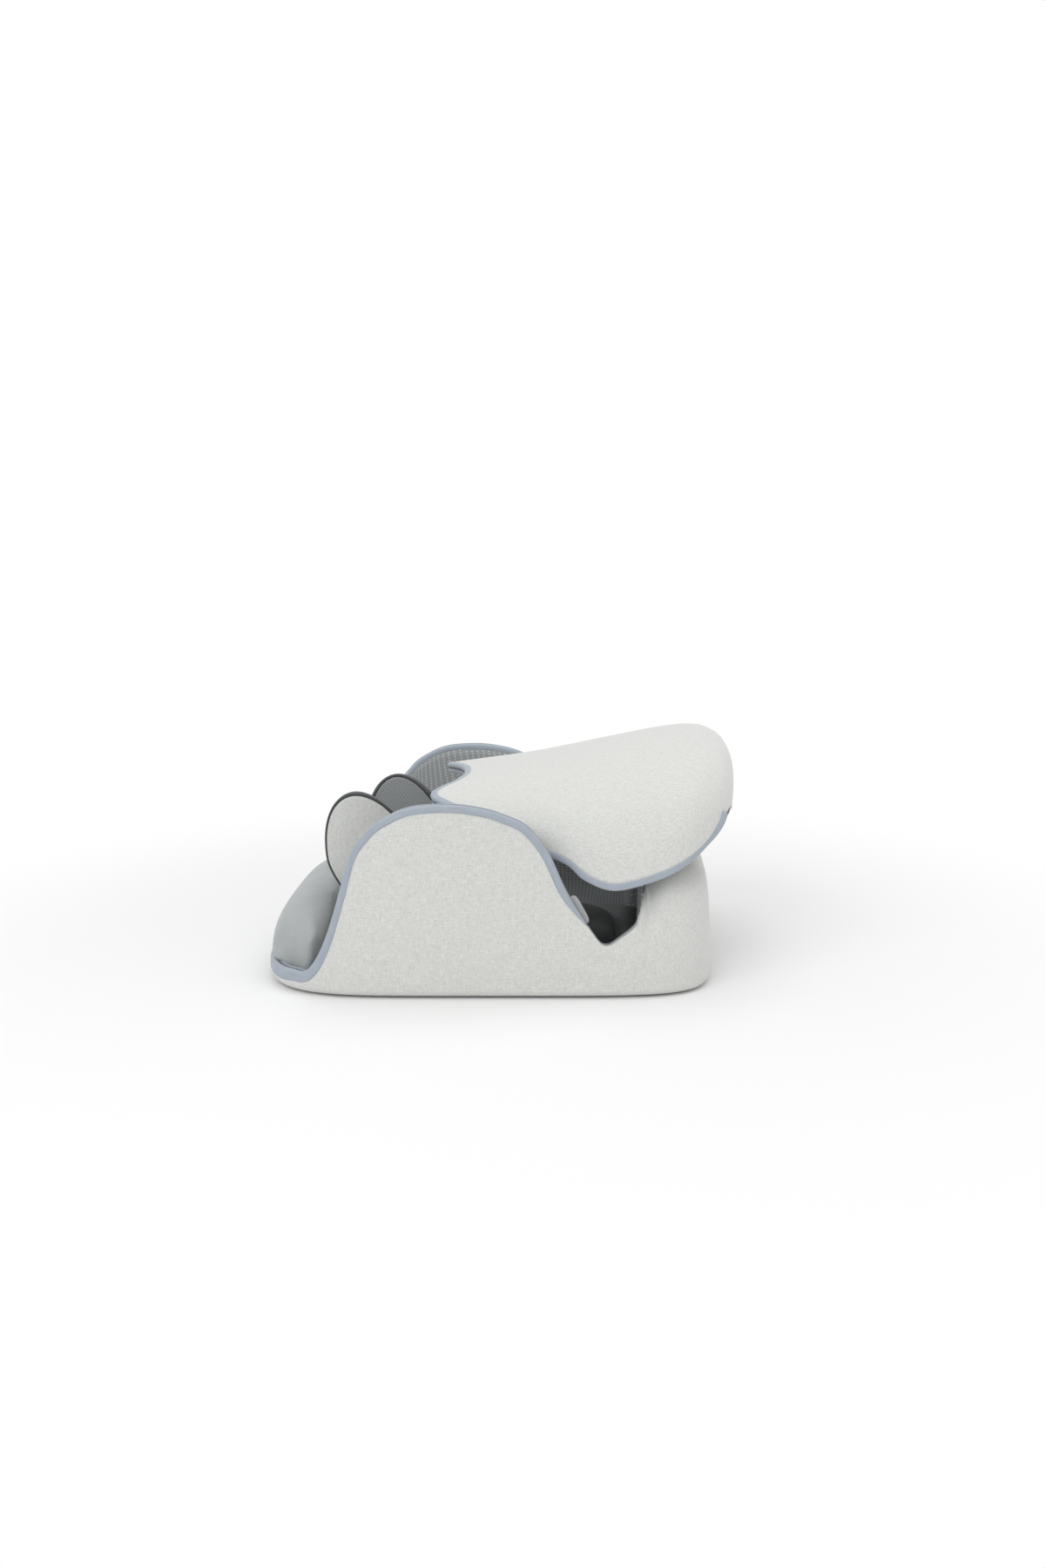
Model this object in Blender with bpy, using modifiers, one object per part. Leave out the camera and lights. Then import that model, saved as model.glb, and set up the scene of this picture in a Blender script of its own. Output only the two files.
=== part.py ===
"""Folding neck traction cradle: a padded basin with shoulder wings, a fold-over hood and a neck module.

Frame: metres, +Z up. X runs from the shoulder lip (-X) to the crown end (+X), Y across the user, and the
origin is on the ground under the middle of the folded object.
"""

import math

import bmesh
import bpy
import numpy as np
from mathutils import Matrix, Vector

MM = 0.001

# Base basin: plan outline of the outer skin, a superellipse that differs ahead of and behind its centre
BASE_FRONT_X = -174 * MM
BASE_REAR_X = 160 * MM
PLAN_CENTRE_X = -29 * MM
BASE_HALF_WIDTH = 131 * MM
FRONT_POWER = 4.0
REAR_POWER = 6.5

# Base basin: side profile of the rim, from the lip over the wing and the ear notch to the crown block
LIP_HEIGHT = 16 * MM
CREST_HEIGHT = 140 * MM
NOTCH_HEIGHT = 36 * MM
BLOCK_HEIGHT = 89 * MM
WING_START_X = -148 * MM
WING_MID_X = -111 * MM
CREST_X = -36 * MM
NOTCH_X = 77 * MM
BLOCK_X = 120 * MM
WING_FLARE = 6 * MM
BLOCK_LEAN = 5 * MM
LEAN_START = 55 * MM
SIDE_LEAN = 12 * MM
SIDE_LEAN_START = 30 * MM
SHOULDER_RADIUS = 21 * MM
SHELF_DEPTH = 44 * MM
BOTTOM_RADIUS = 5 * MM

# Sheet thicknesses and clearances
GAP = 0.4 * MM
GRIP_SHEET = 1 * MM
SHELL_WALL = 4.4 * MM
LINER_WALL = 2.5 * MM
BINDING_WIDTH = 6 * MM
BINDING_PROUD = 0.6 * MM
SHELL_SET_BACK = 1.2 * MM
LINER_SET_BACK = 2.8 * MM
HOOD_SET_BACK = 2.5 * MM

# Liner bowl: inset of its floor from the outline, and the length over which its direction turns a corner
BOWL_FRONT_INSET = 24 * MM
BOWL_SIDE_INSET = 43 * MM
BOWL_REAR_INSET = 51 * MM
CORNER_TURN = 110 * MM

# Hood: spine in the middle plane, and the lower edge of each side
HOOD_NOTCH_X = -31 * MM
HOOD_NOTCH_Z = 138 * MM
HOOD_CROWN_X = 148 * MM
HOOD_CROWN_Z = 174 * MM
HOOD_REAR_X = 181 * MM
HOOD_REAR_EDGE_X = 179 * MM
HOOD_REAR_EDGE_Z = 124 * MM
HOOD_HALF_WIDTH = 114 * MM
HOOD_SPREAD = 13 * MM
HOOD_REAR_HALF_WIDTH = 90 * MM
HOOD_FRONT_CORNER_X = -6 * MM
HOOD_FRONT_CORNER_Z = 106 * MM
HOOD_SIDE_LOW_X = 87 * MM
HOOD_SIDE_LOW_Z = 76 * MM
HOOD_REAR_CORNER_X = 170 * MM
HOOD_REAR_CORNER_Z = 128 * MM
HOOD_ARCH_POWER = 2.4
PRONG_LENGTH = 24 * MM
PRONG_SHARE = 0.36
HOOD_BINDING_END = 0.94

# Hinge of the hood on the crown block
HINGE_X = BASE_REAR_X - 17 * MM
HINGE_Z = BLOCK_HEIGHT + 2 * MM
HINGE_PANEL_WALL = 2.4 * MM
HINGE_PANEL_SHARE = 0.46

# Neck module: bed on its air cell between two neck wings, whose tongues lean forward from their roots
BED_FRONT_X = -117 * MM
BED_REAR_X = -58 * MM
BED_HALF_WIDTH = 43 * MM
BED_HEIGHT = 27 * MM
BED_DISH = 9 * MM
TRACTION_CELL_HEIGHT = 8 * MM
TRACTION_CELL_INSET = 5 * MM
WING_ROOT = (-86 * MM, 30 * MM)
WING_TOP = (-109 * MM, 131 * MM)
WING_ROOT_Y = 52 * MM
WING_LEAN_Y = 8 * MM
WING_CUP = 9 * MM
WING_HALF_WIDTH = 34 * MM
WING_SHOULDER = 0.46
WING_TIP_POWER = 1.95
FAR_WING_SHIFT = (17 * MM, -7 * MM)
NECK_WING_WALL = 3.6 * MM
NECK_WING_LINER = 2.2 * MM
ZIP_WIDTH = 3 * MM

# Neck roll: the cushion over the shoulder lip, and the foam block that it lies on
ROLL_BACK_X = -127.5 * MM
ROLL_HEIGHT = 59 * MM
ROLL_OVERHANG = 1 * MM
ROLL_CORNER = 2.5 * MM
ROLL_END = 0.122
RISER_HEIGHT = 7 * MM
RISER_LENGTH = 20 * MM
RISER_HALF_WIDTH = 58 * MM

# Head pad on the bowl's floor, and the air cells in the hood and the shoulder wings
HEAD_PAD_FRONT_X = -52 * MM
HEAD_PAD_REAR_X = 94 * MM
HEAD_PAD_HALF_WIDTH = 70 * MM
HEAD_PAD_HEIGHT = 18 * MM
HOOD_CELL_WALL = 6 * MM
WING_CELL_WALL = 4 * MM

# Air system in the crown block
BAY_X = 135 * MM
TRAY_LENGTH = 144 * MM
TRAY_DEPTH = 31 * MM
TRAY_WALL = 2 * MM
TRAY_HEIGHT = 10 * MM
PUMP_DIAMETER = 24 * MM
PUMP_LENGTH = 44 * MM
PUMP_HEAD_LENGTH = 14 * MM
VALVE_DIAMETER = 12 * MM
VALVE_LENGTH = 26 * MM
VALVE_PITCH = 15 * MM
BATTERY_SIZE = (20 * MM, 30 * MM, 44 * MM)
BOARD_SIZE = (1.6 * MM, 60 * MM, 24 * MM)
BOARD_X = 151.2 * MM
HOSE_DIAMETER = 5 * MM
HOSE_INSET = 10 * MM
HOSE_RISE = 20 * MM

# Tab inside the near wing's rear edge
TAB_WIDTH = 10 * MM
TAB_WALL = 2.4 * MM

# Rear control insert
PANEL_Z = 34 * MM
PANEL_LENGTH = 52 * MM
PANEL_HEIGHT = 20 * MM
PANEL_DEPTH = 6.6 * MM
BUTTON_DIAMETER = 13 * MM
BUTTON_LENGTH = 6.4 * MM
BUTTON_OFFSET = 12 * MM
BUTTON_PROUD = 1.6 * MM
PORT_LENGTH = 9 * MM
PORT_HEIGHT = 3.4 * MM

# Facets, and the shares of the crown block's wall rows where its shoulder and its shelf begin
SHOULDER_START = 0.5
SHELF_START = 0.8
RING = 64
DENSE = 720
HOOD_ROWS = 20
HOOD_COLUMNS = 18

FLOOR_Z = GRIP_SHEET + GAP
SHELL_FLOOR_TOP = FLOOR_Z + SHELL_WALL
BOWL_FLOOR_Z = SHELL_FLOOR_TOP + GAP
SEAT_Z = BOWL_FLOOR_Z + LINER_WALL + GAP
BED_Z = SEAT_Z + TRACTION_CELL_HEIGHT + GAP
SANDWICH = SHELL_WALL + GAP + LINER_WALL


def clear_scene():
    for old in list(bpy.data.objects):
        bpy.data.objects.remove(old)


def collection(name):
    made = bpy.data.collections.new(name)
    bpy.context.scene.collection.children.link(made)
    return made


def material(name, colour, roughness, metallic=0.0):
    made = bpy.data.materials.new(name)
    made.use_nodes = True
    shader = made.node_tree.nodes["Principled BSDF"]
    shader.inputs["Base Color"].default_value = (*colour, 1.0)
    shader.inputs["Roughness"].default_value = roughness
    shader.inputs["Metallic"].default_value = metallic
    return made


clear_scene()
PARTS = collection("neck_traction_cradle")
CUTTERS = collection("cutters")
MELANGE = material("melange_fabric", (0.80, 0.81, 0.79), 0.95)
SLATE = material("slate_binding", (0.42, 0.48, 0.56), 0.8)
GREY_MESH = material("grey_dotted_lining", (0.32, 0.34, 0.35), 0.9)
DARK_MESH = material("dark_mesh_lining", (0.10, 0.11, 0.12), 0.9)
ZIP_TAPE = material("zip_coil", (0.09, 0.10, 0.10), 0.6)
AIR_FILM = material("air_cell_film", (0.55, 0.60, 0.63), 0.45)
BLACK_PLASTIC = material("black_plastic", (0.05, 0.05, 0.055), 0.5)
GREY_PLASTIC = material("grey_plastic", (0.45, 0.47, 0.49), 0.45)
RUBBER = material("grip_rubber", (0.12, 0.12, 0.13), 0.9)
METAL = material("plated_steel", (0.6, 0.6, 0.6), 0.35, 1.0)
BOARD = material("circuit_board", (0.03, 0.20, 0.10), 0.5)
HOSE = material("clear_hose", (0.75, 0.77, 0.78), 0.4)
FOAM = material("grey_foam", (0.60, 0.60, 0.58), 0.95)


def smooth(low, high, value):
    share = min(max((value - low) / (high - low), 0.0), 1.0)
    return share * share * (3 - 2 * share)


def curve_through(points, x):
    """Height at x on a smooth curve through points in order of x, with each slope set by its neighbours."""
    xs = np.array([p[0] for p in points])
    zs = np.array([p[1] for p in points])
    slopes = np.gradient(zs, xs)
    slopes[0] = slopes[-1] = 0.0
    x = np.clip(x, xs[0], xs[-1])
    i = np.clip(np.searchsorted(xs, x) - 1, 0, len(xs) - 2)
    span = xs[i + 1] - xs[i]
    t = (x - xs[i]) / span
    start = zs[i] * (1 + 2 * t) * (1 - t) ** 2 + slopes[i] * span * t * (1 - t) ** 2
    end = zs[i + 1] * t * t * (3 - 2 * t) + slopes[i + 1] * span * t * t * (t - 1)
    return start + end


def superellipse_ring(front_x, rear_x, centre_x, half_width, front_power, rear_power):
    """Closed plan outline by equal steps of length, from the front tip along -Y to the rear and back."""
    angle = np.linspace(0, 2 * math.pi, 40 * DENSE + 1)
    ahead = np.cos(angle) >= 0
    power = np.where(ahead, front_power, rear_power)
    reach = np.where(ahead, front_x - centre_x, rear_x - centre_x)
    x = centre_x + reach * np.abs(np.cos(angle)) ** (2 / power)
    y = -half_width * np.sign(np.sin(angle)) * np.abs(np.sin(angle)) ** (2 / power)
    length = np.concatenate([[0], np.cumsum(np.hypot(np.diff(x), np.diff(y)))])
    even = np.linspace(0, length[-1], DENSE + 1)
    return np.stack([np.interp(even, length, x), np.interp(even, length, y)], axis=1), length[-1]


OUTLINE, PERIMETER = superellipse_ring(
    BASE_FRONT_X, BASE_REAR_X, PLAN_CENTRE_X, BASE_HALF_WIDTH, FRONT_POWER, REAR_POWER
)
RIM_POINTS = [
    (BASE_FRONT_X, LIP_HEIGHT),
    (WING_START_X, LIP_HEIGHT + 0.5 * MM),
    (WING_MID_X - 24 * MM, 0.13 * CREST_HEIGHT),
    (WING_MID_X - 10 * MM, 0.3 * CREST_HEIGHT),
    (WING_MID_X, 0.52 * CREST_HEIGHT),
    (WING_MID_X + 7 * MM, 0.7 * CREST_HEIGHT),
    (WING_MID_X + 20 * MM, 0.85 * CREST_HEIGHT),
    (CREST_X - 36 * MM, 0.95 * CREST_HEIGHT),
    (CREST_X, CREST_HEIGHT),
    (CREST_X + 20 * MM, 0.99 * CREST_HEIGHT),
    (CREST_X + 44 * MM, 0.945 * CREST_HEIGHT),
    (NOTCH_X - 50 * MM, 0.87 * CREST_HEIGHT),
    (NOTCH_X - 37 * MM, 0.745 * CREST_HEIGHT),
    (NOTCH_X - 25 * MM, 0.56 * CREST_HEIGHT),
    (NOTCH_X - 13 * MM, NOTCH_HEIGHT + 19 * MM),
    (NOTCH_X, NOTCH_HEIGHT),
    (NOTCH_X + 15 * MM, NOTCH_HEIGHT + 5 * MM),
    (BLOCK_X - 8 * MM, 0.62 * BLOCK_HEIGHT),
    (BLOCK_X + 3 * MM, 0.81 * BLOCK_HEIGHT),
    (BLOCK_X + 12 * MM, 0.96 * BLOCK_HEIGHT),
    (BLOCK_X + 20 * MM, BLOCK_HEIGHT),
    (BASE_REAR_X, BLOCK_HEIGHT),
]
STATIONS = np.linspace(0, 1, DENSE + 1)
RIM_HEIGHT = curve_through(RIM_POINTS, OUTLINE[:, 0])
BINDING_SHARE = np.array([1 - smooth(NOTCH_X - 26 * MM, NOTCH_X - 4 * MM, x) for x in OUTLINE[:, 0]])


def sheet_rim(clearance):
    """Height of a sheet's cut edge: the rim moved in along the flattened wall by the binding's width."""
    along = STATIONS * PERIMETER
    slope = np.gradient(RIM_HEIGHT, along)
    length = np.sqrt(1 + slope**2)
    width = (BINDING_WIDTH + clearance) * BINDING_SHARE
    moved = along + width * slope / length
    lowered = RIM_HEIGHT - width / length
    order = np.argsort(moved)
    return np.interp(along, moved[order], lowered[order])


SHEET_HEIGHT = sheet_rim(SHELL_SET_BACK)
LINER_HEIGHT = sheet_rim(LINER_SET_BACK)


def rim_stations(count):
    """Shares of the outline that step evenly along the climbing rim, symmetric about Y = 0."""
    half = DENSE // 2 + 1
    along = STATIONS[:half] * PERIMETER
    length = np.concatenate([[0], np.cumsum(np.hypot(np.diff(along), np.diff(RIM_HEIGHT[:half])))])
    even = np.interp(np.linspace(0, length[-1], count // 2 + 1), length, STATIONS[:half])
    return np.concatenate([even, 1 - even[-2::-1]])


def at(table, u):
    return np.interp(u % 1.0 if u != 1.0 else 1.0, STATIONS, table)


def plan_point(u, table=OUTLINE):
    return np.array([at(table[:, 0], u), at(table[:, 1], u)])


def inward_steps():
    """Inward directions round the outline: its normals, averaged over a length so that corners fan out."""
    ring = OUTLINE[:-1]
    tangent = np.roll(ring, -1, axis=0) - np.roll(ring, 1, axis=0)
    normal = np.stack([-tangent[:, 1], tangent[:, 0]], axis=1)
    normal /= np.hypot(normal[:, 0], normal[:, 1])[:, None]
    reach = round(CORNER_TURN / PERIMETER * DENSE / 2)
    mean = sum(np.roll(normal, k, axis=0) for k in range(-reach, reach + 1))
    mean /= np.hypot(mean[:, 0], mean[:, 1])[:, None]
    return np.concatenate([mean, mean[:1]])


INWARD = inward_steps()


def inward(u):
    """Horizontal unit step inwards from the outline, and the distance to the edge of the bowl's floor."""
    step = plan_point(u, INWARD)
    x = float(at(OUTLINE[:, 0], u))
    distance = BOWL_FRONT_INSET + (BOWL_SIDE_INSET - BOWL_FRONT_INSET) * smooth(-150 * MM, -90 * MM, x)
    distance += (BOWL_REAR_INSET - BOWL_SIDE_INSET) * smooth(90 * MM, 140 * MM, x)
    return step / float(np.hypot(*step)), distance


def slant(u):
    """Length along the inward step that spans a unit of thickness square to the outline."""
    tangent = plan_point((u + 0.002) % 1.0) - plan_point((u - 0.002) % 1.0)
    normal = np.array([-tangent[1], tangent[0]]) / np.hypot(*tangent)
    return 1 / max(0.5, abs(float(normal @ inward(u)[0])))


def rear_share(x):
    return smooth(NOTCH_X + 10 * MM, BLOCK_X, x)


def wing_inset(z):
    return -WING_FLARE * (max(z, 0) / CREST_HEIGHT) ** 2


def block_profile(w, low, high):
    """Height and inset of the crown block's skin: a straight wall, a round shoulder and a flat shelf."""
    wall_end, arc_end = SHOULDER_START, SHELF_START
    straight_top = high - SHOULDER_RADIUS
    if w <= wall_end:
        z = low + (straight_top - low) * w / wall_end
        curl = 0.0
    elif w <= arc_end:
        turn = (w - wall_end) / (arc_end - wall_end) * math.pi / 2
        z = straight_top + SHOULDER_RADIUS * math.sin(turn)
        curl = SHOULDER_RADIUS * (1 - math.cos(turn))
    else:
        z = high
        curl = SHOULDER_RADIUS + (SHELF_DEPTH - SHOULDER_RADIUS) * (w - arc_end) / (1 - arc_end)
    lean = BLOCK_LEAN * max(0.0, (z - LEAN_START) / (BLOCK_HEIGHT - LEAN_START)) ** 1.5
    return z, curl + lean * (1 - max(0.0, (w - arc_end) / (1 - arc_end)))


def wall_point(u, w, rim):
    """Outer skin of the basin at share w of its wall, from the rounded bottom edge to the given rim."""
    start = plan_point(u)
    step, _ = inward(u)
    rear = rear_share(start[0])
    round_off = min(BOTTOM_RADIUS, 0.55 * (rim - FLOOR_Z))
    low = FLOOR_Z + round_off
    wing_z = low + (rim - low) * w
    block_z, block_inset = block_profile(w, low, max(rim, low + SHOULDER_RADIUS + 4 * MM))
    z = (1 - rear) * wing_z + rear * min(block_z, rim)
    climb = max(0.0, (z - SIDE_LEAN_START) / (BLOCK_HEIGHT - SIDE_LEAN_START))
    shelf = max(0.0, (w - SHELF_START) / (1 - SHELF_START))
    side = abs(step[1]) * SIDE_LEAN * climb**1.3 * (1 - shelf)
    inset = (1 - rear) * wing_inset(wing_z) + rear * (block_inset + side)
    return Vector((*(start + step * inset), z)), Vector((*step, 0)), round_off


def shell_point(u, v):
    """Outer skin from the flat bottom (v = 0) round the bottom edge and up the wall to the cut rim."""
    rim = float(at(SHEET_HEIGHT, u))
    arc_share = 0.25
    if v >= arc_share:
        return wall_point(u, (v - arc_share) / (1 - arc_share), rim)[0]
    point, step, round_off = wall_point(u, 0, rim)
    turn = v / arc_share * math.pi / 2
    inset = round_off * (1 - math.sin(turn))
    drop = round_off * math.cos(turn)
    return point + step * inset - Vector((0, 0, drop))


def liner_point(u, v):
    """Side of the liner that faces the shell: a quarter-ellipse bowl from its floor to its rim."""
    rim = float(at(LINER_HEIGHT, u))
    start = plan_point(u)
    step, distance = inward(u)
    rear = rear_share(start[0])
    turn = v * math.pi / 2
    z = BOWL_FLOOR_Z + (rim - BOWL_FLOOR_Z) * (1 - math.cos(turn))
    at_wing = wing_inset(z) + (SHELL_WALL + GAP) * slant(u)
    at_rim = (1 - rear) * at_wing + rear * (SHELF_DEPTH + 4 * GAP)
    inset = at_rim + (distance - at_rim) * (1 - math.sin(turn))
    return Vector((*(start + step * inset), z))


def add_object(name, mesh, finish, where=PARTS):
    made = bpy.data.objects.new(name, mesh)
    where.objects.link(made)
    made.data.materials.append(finish)
    return made


def mesh_from(bm, name):
    mesh = bpy.data.meshes.new(name)
    bm.to_mesh(mesh)
    bm.free()
    mesh.shade_smooth()
    mesh.set_sharp_from_angle(angle=math.radians(40))
    return mesh


def mapped_grid(point, u_cells, v_cells):
    """A grid primitive whose corners are placed by point(u, v), with seams and poles merged."""
    bm = bmesh.new()
    bmesh.ops.create_grid(bm, x_segments=u_cells, y_segments=v_cells, size=0.5)
    for vert in bm.verts:
        vert.co = point(round(vert.co.x + 0.5, 6), round(vert.co.y + 0.5, 6))
    bmesh.ops.remove_doubles(bm, verts=bm.verts, dist=0.02 * MM)
    return bm


def close_flat(bm, height, upwards):
    """Fills the open loop that lies at one height with a flat face."""
    loop = [e for e in bm.edges if e.is_boundary and all(abs(v.co.z - height) < 0.01 * MM for v in e.verts)]
    made = bmesh.ops.contextual_create(bm, geom=loop)["faces"][0]
    made.normal_update()
    if (made.normal.z > 0) != upwards:
        made.normal_flip()


def face_outwards(bm):
    """Turns the faces of a closed surface so that they all point out."""
    bmesh.ops.recalc_face_normals(bm, faces=bm.faces)
    if bm.calc_volume(signed=True) < 0:
        bmesh.ops.reverse_faces(bm, faces=bm.faces)


def sheet(name, bm, finish, thickness, outwards=False):
    """An open surface thickened to one side of its face normals."""
    made = add_object(name, mesh_from(bm, name), finish)
    solidify = made.modifiers.new("thickness", "SOLIDIFY")
    solidify.thickness = thickness
    solidify.offset = 1.0 if outwards else -1.0
    return made


def ribbon(name, stations, finish, corners=8):
    """A closed band: each station gives its centre, two axes and two half sizes of a rounded section."""
    count = len(stations)

    def point(u, v):
        centre, wide, thick, half_wide, half_thick = stations[round(u * (count - 1))]
        turn = 2 * math.pi * v
        across = math.copysign(abs(math.cos(turn)) ** 0.6, math.cos(turn))
        through = math.copysign(abs(math.sin(turn)) ** 0.6, math.sin(turn))
        return centre + wide * (half_wide * across) + thick * (half_thick * through)

    bm = mapped_grid(point, count - 1, corners)
    bmesh.ops.holes_fill(bm, edges=[e for e in bm.edges if e.is_boundary], sides=0)
    face_outwards(bm)
    return add_object(name, mesh_from(bm, name), finish)


def box(name, low, high, finish, bevel=1 * MM, where=PARTS):
    """A box primitive between two corners, with rounded edges."""
    bm = bmesh.new()
    centre = (Vector(low) + Vector(high)) / 2
    size = Vector(high) - Vector(low)
    bmesh.ops.create_cube(bm, size=1, matrix=Matrix.Translation(centre) @ Matrix.Diagonal((*size, 1)))
    made = add_object(name, mesh_from(bm, name), finish, where)
    if bevel:
        rounding = made.modifiers.new("edges", "BEVEL")
        rounding.width = bevel
        rounding.segments = 2
    return made


def cylinder(name, centre, radius, length, axis, finish, sides=24, where=PARTS):
    """A cylinder primitive centred at a point along X, Y or Z."""
    quarter = math.pi / 2
    turn = {"X": Matrix.Rotation(quarter, 4, "Y"), "Y": Matrix.Rotation(quarter, 4, "X"), "Z": Matrix()}
    bm = bmesh.new()
    bmesh.ops.create_cone(
        bm,
        cap_ends=True,
        segments=sides,
        radius1=radius,
        radius2=radius,
        depth=length,
        matrix=Matrix.Translation(centre) @ turn[axis],
    )
    return add_object(name, mesh_from(bm, name), finish, where)


def cut(target, cutter, operation="DIFFERENCE"):
    cutter.hide_render = True
    cutter.display_type = "WIRE"
    boolean = target.modifiers.new(operation.lower(), "BOOLEAN")
    boolean.operation = operation
    boolean.object = cutter


def tube(name, points, diameter, finish):
    """A round hose on a smooth curve through hand-chosen points."""
    data = bpy.data.curves.new(name, "CURVE")
    data.dimensions = "3D"
    data.bevel_depth = diameter / 2
    data.bevel_resolution = 1
    data.use_fill_caps = True
    spline = data.splines.new("POLY")
    path = smooth_path([Vector(p) for p in points], 4)
    spline.points.add(len(path) - 1)
    for knot, p in zip(spline.points, path):
        knot.co = (*p, 1)
    return add_object(name, data, finish)


def smooth_path(points, steps):
    """Points of a smooth curve through the given ones."""
    padded = [2 * points[0] - points[1], *points, 2 * points[-1] - points[-2]]
    path = []
    for a, b, c, d in zip(padded, padded[1:], padded[2:], padded[3:]):
        for i in range(steps):
            t = i / steps
            square = 2 * a - 5 * b + 4 * c - d
            cube = 3 * b - a - 3 * c + d
            path.append(0.5 * (2 * b + (c - a) * t + square * t**2 + cube * t**3))
    return [*path, points[-1]]


# Base basin


def on_rim(point):
    """The same surface with its stations spaced evenly along the rim."""
    stations = rim_stations(RING)
    return lambda u, v: point(float(stations[round(u * RING)]), v)


def base_shell():
    bm = mapped_grid(on_rim(shell_point), RING, 9)
    close_flat(bm, FLOOR_Z, upwards=False)
    return sheet("base_shell", bm, MELANGE, SHELL_WALL)


def base_liner():
    bm = mapped_grid(on_rim(liner_point), RING, 7)
    close_flat(bm, BOWL_FLOOR_Z, upwards=False)
    return sheet("base_liner", bm, GREY_MESH, LINER_WALL)


def base_binding():
    """Edge tape that caps the shell and the liner from ear notch to ear notch, round the shoulder lip."""
    bound = [float(u) for u in rim_stations(RING) if u <= 0.5 and at(BINDING_SHARE, float(u)) >= 0.15]
    stations = []
    for u in [-u for u in reversed(bound[1:])] + bound:
        ahead, behind = rim_point(u + 0.002), rim_point(u - 0.002)
        centre = rim_point(u)
        along = (ahead - behind).normalized()
        step = Vector((*inward(u)[0], 0))
        down = along.cross(step).normalized()
        if down.z > 0:
            down = -down
        through = down.cross(along).normalized()
        share = float(at(BINDING_SHARE, u))
        middle = centre + down * (BINDING_WIDTH * share / 2) + step * (SANDWICH / 2 * slant(u))
        stations.append((middle, down, through, BINDING_WIDTH * share / 2, SANDWICH / 2 + BINDING_PROUD))
    return ribbon("base_binding", stations, SLATE)


def rim_point(u):
    return wall_point(u, 1.0, float(at(RIM_HEIGHT, u)))[0]


def grip_sheet():
    """Thin non-slip sheet under the basin, inside its rounded bottom edge."""
    share = 0.86

    def point(u, v):
        edge = plan_point(u)
        middle = np.array([PLAN_CENTRE_X, 0.0])
        return Vector((*(middle + (edge - middle) * share), GRIP_SHEET * v))

    bm = mapped_grid(point, RING, 1)
    close_flat(bm, 0.0, upwards=False)
    close_flat(bm, GRIP_SHEET, upwards=True)
    face_outwards(bm)
    return add_object("grip_sheet", mesh_from(bm, "grip_sheet"), RUBBER)


# Hood


SPINE = smooth_path(
    [
        Vector((HOOD_NOTCH_X, 0, HOOD_NOTCH_Z)),
        Vector((0.62 * HOOD_CROWN_X, 0, HOOD_CROWN_Z - 9 * MM)),
        Vector((HOOD_CROWN_X, 0, HOOD_CROWN_Z)),
        Vector((HOOD_REAR_X - 11 * MM, 0, HOOD_CROWN_Z - 5 * MM)),
        Vector((HOOD_REAR_X - 2 * MM, 0, HOOD_CROWN_Z - 16 * MM)),
        Vector((HOOD_REAR_X, 0, HOOD_CROWN_Z - 30 * MM)),
        Vector((HOOD_REAR_EDGE_X, 0, HOOD_REAR_EDGE_Z)),
    ],
    12,
)
SIDE_EDGE = smooth_path(
    [
        Vector((HOOD_FRONT_CORNER_X, 0, HOOD_FRONT_CORNER_Z)),
        Vector((HOOD_SIDE_LOW_X - 41 * MM, 0, HOOD_SIDE_LOW_Z + 19 * MM)),
        Vector((HOOD_SIDE_LOW_X - 22 * MM, 0, HOOD_SIDE_LOW_Z + 6.5 * MM)),
        Vector((HOOD_SIDE_LOW_X, 0, HOOD_SIDE_LOW_Z)),
        Vector((HOOD_SIDE_LOW_X + 28 * MM, 0, HOOD_SIDE_LOW_Z + 6.5 * MM)),
        Vector((HOOD_SIDE_LOW_X + 53 * MM, 0, HOOD_SIDE_LOW_Z + 16.5 * MM)),
        Vector((HOOD_REAR_CORNER_X - 11 * MM, 0, HOOD_REAR_CORNER_Z - 21 * MM)),
        Vector((HOOD_REAR_CORNER_X, 0, HOOD_REAR_CORNER_Z)),
    ],
    12,
)


def along_path(path, share):
    """Point at a share of a path's length."""
    lengths = np.concatenate([[0], np.cumsum([(b - a).length for a, b in zip(path, path[1:])])])
    target = share * lengths[-1]
    table = np.array([list(p) for p in path])
    return Vector([float(np.interp(target, lengths, table[:, k])) for k in range(3)])


def hood_point(p, q):
    """Skin of the hood at share p from its front to its rear edge, and q from its -Y to its +Y edge."""
    spine = along_path(SPINE, p)
    edge = along_path(SIDE_EDGE, p)
    turn = abs(q) * math.pi / 2
    out = math.sin(turn) ** (2 / HOOD_ARCH_POWER)
    up = math.cos(turn) ** (2 / HOOD_ARCH_POWER)
    wide = HOOD_HALF_WIDTH + HOOD_SPREAD * smooth(0.15, 0.5, p)
    half = wide + (HOOD_REAR_HALF_WIDTH - wide) * smooth(0.62, 1.0, p) ** 1.2
    prong = PRONG_LENGTH * math.exp(-(((abs(q) - PRONG_SHARE) / 0.2) ** 2)) * (1 - smooth(0.0, 0.3, p))
    x = spine.x + (edge.x - spine.x) * q * q - prong
    z = edge.z + (spine.z - edge.z) * up
    return Vector((x, math.copysign(half * out, q), z))


def hood_normal(p, q, step=1e-3):
    low_p, high_p = max(p - step, 0), min(p + step, 1)
    low_q, high_q = max(q - step, -1), min(q + step, 1)
    along = hood_point(high_p, q) - hood_point(low_p, q)
    across = hood_point(p, high_q) - hood_point(p, low_q)
    return along.cross(across).normalized()


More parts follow.
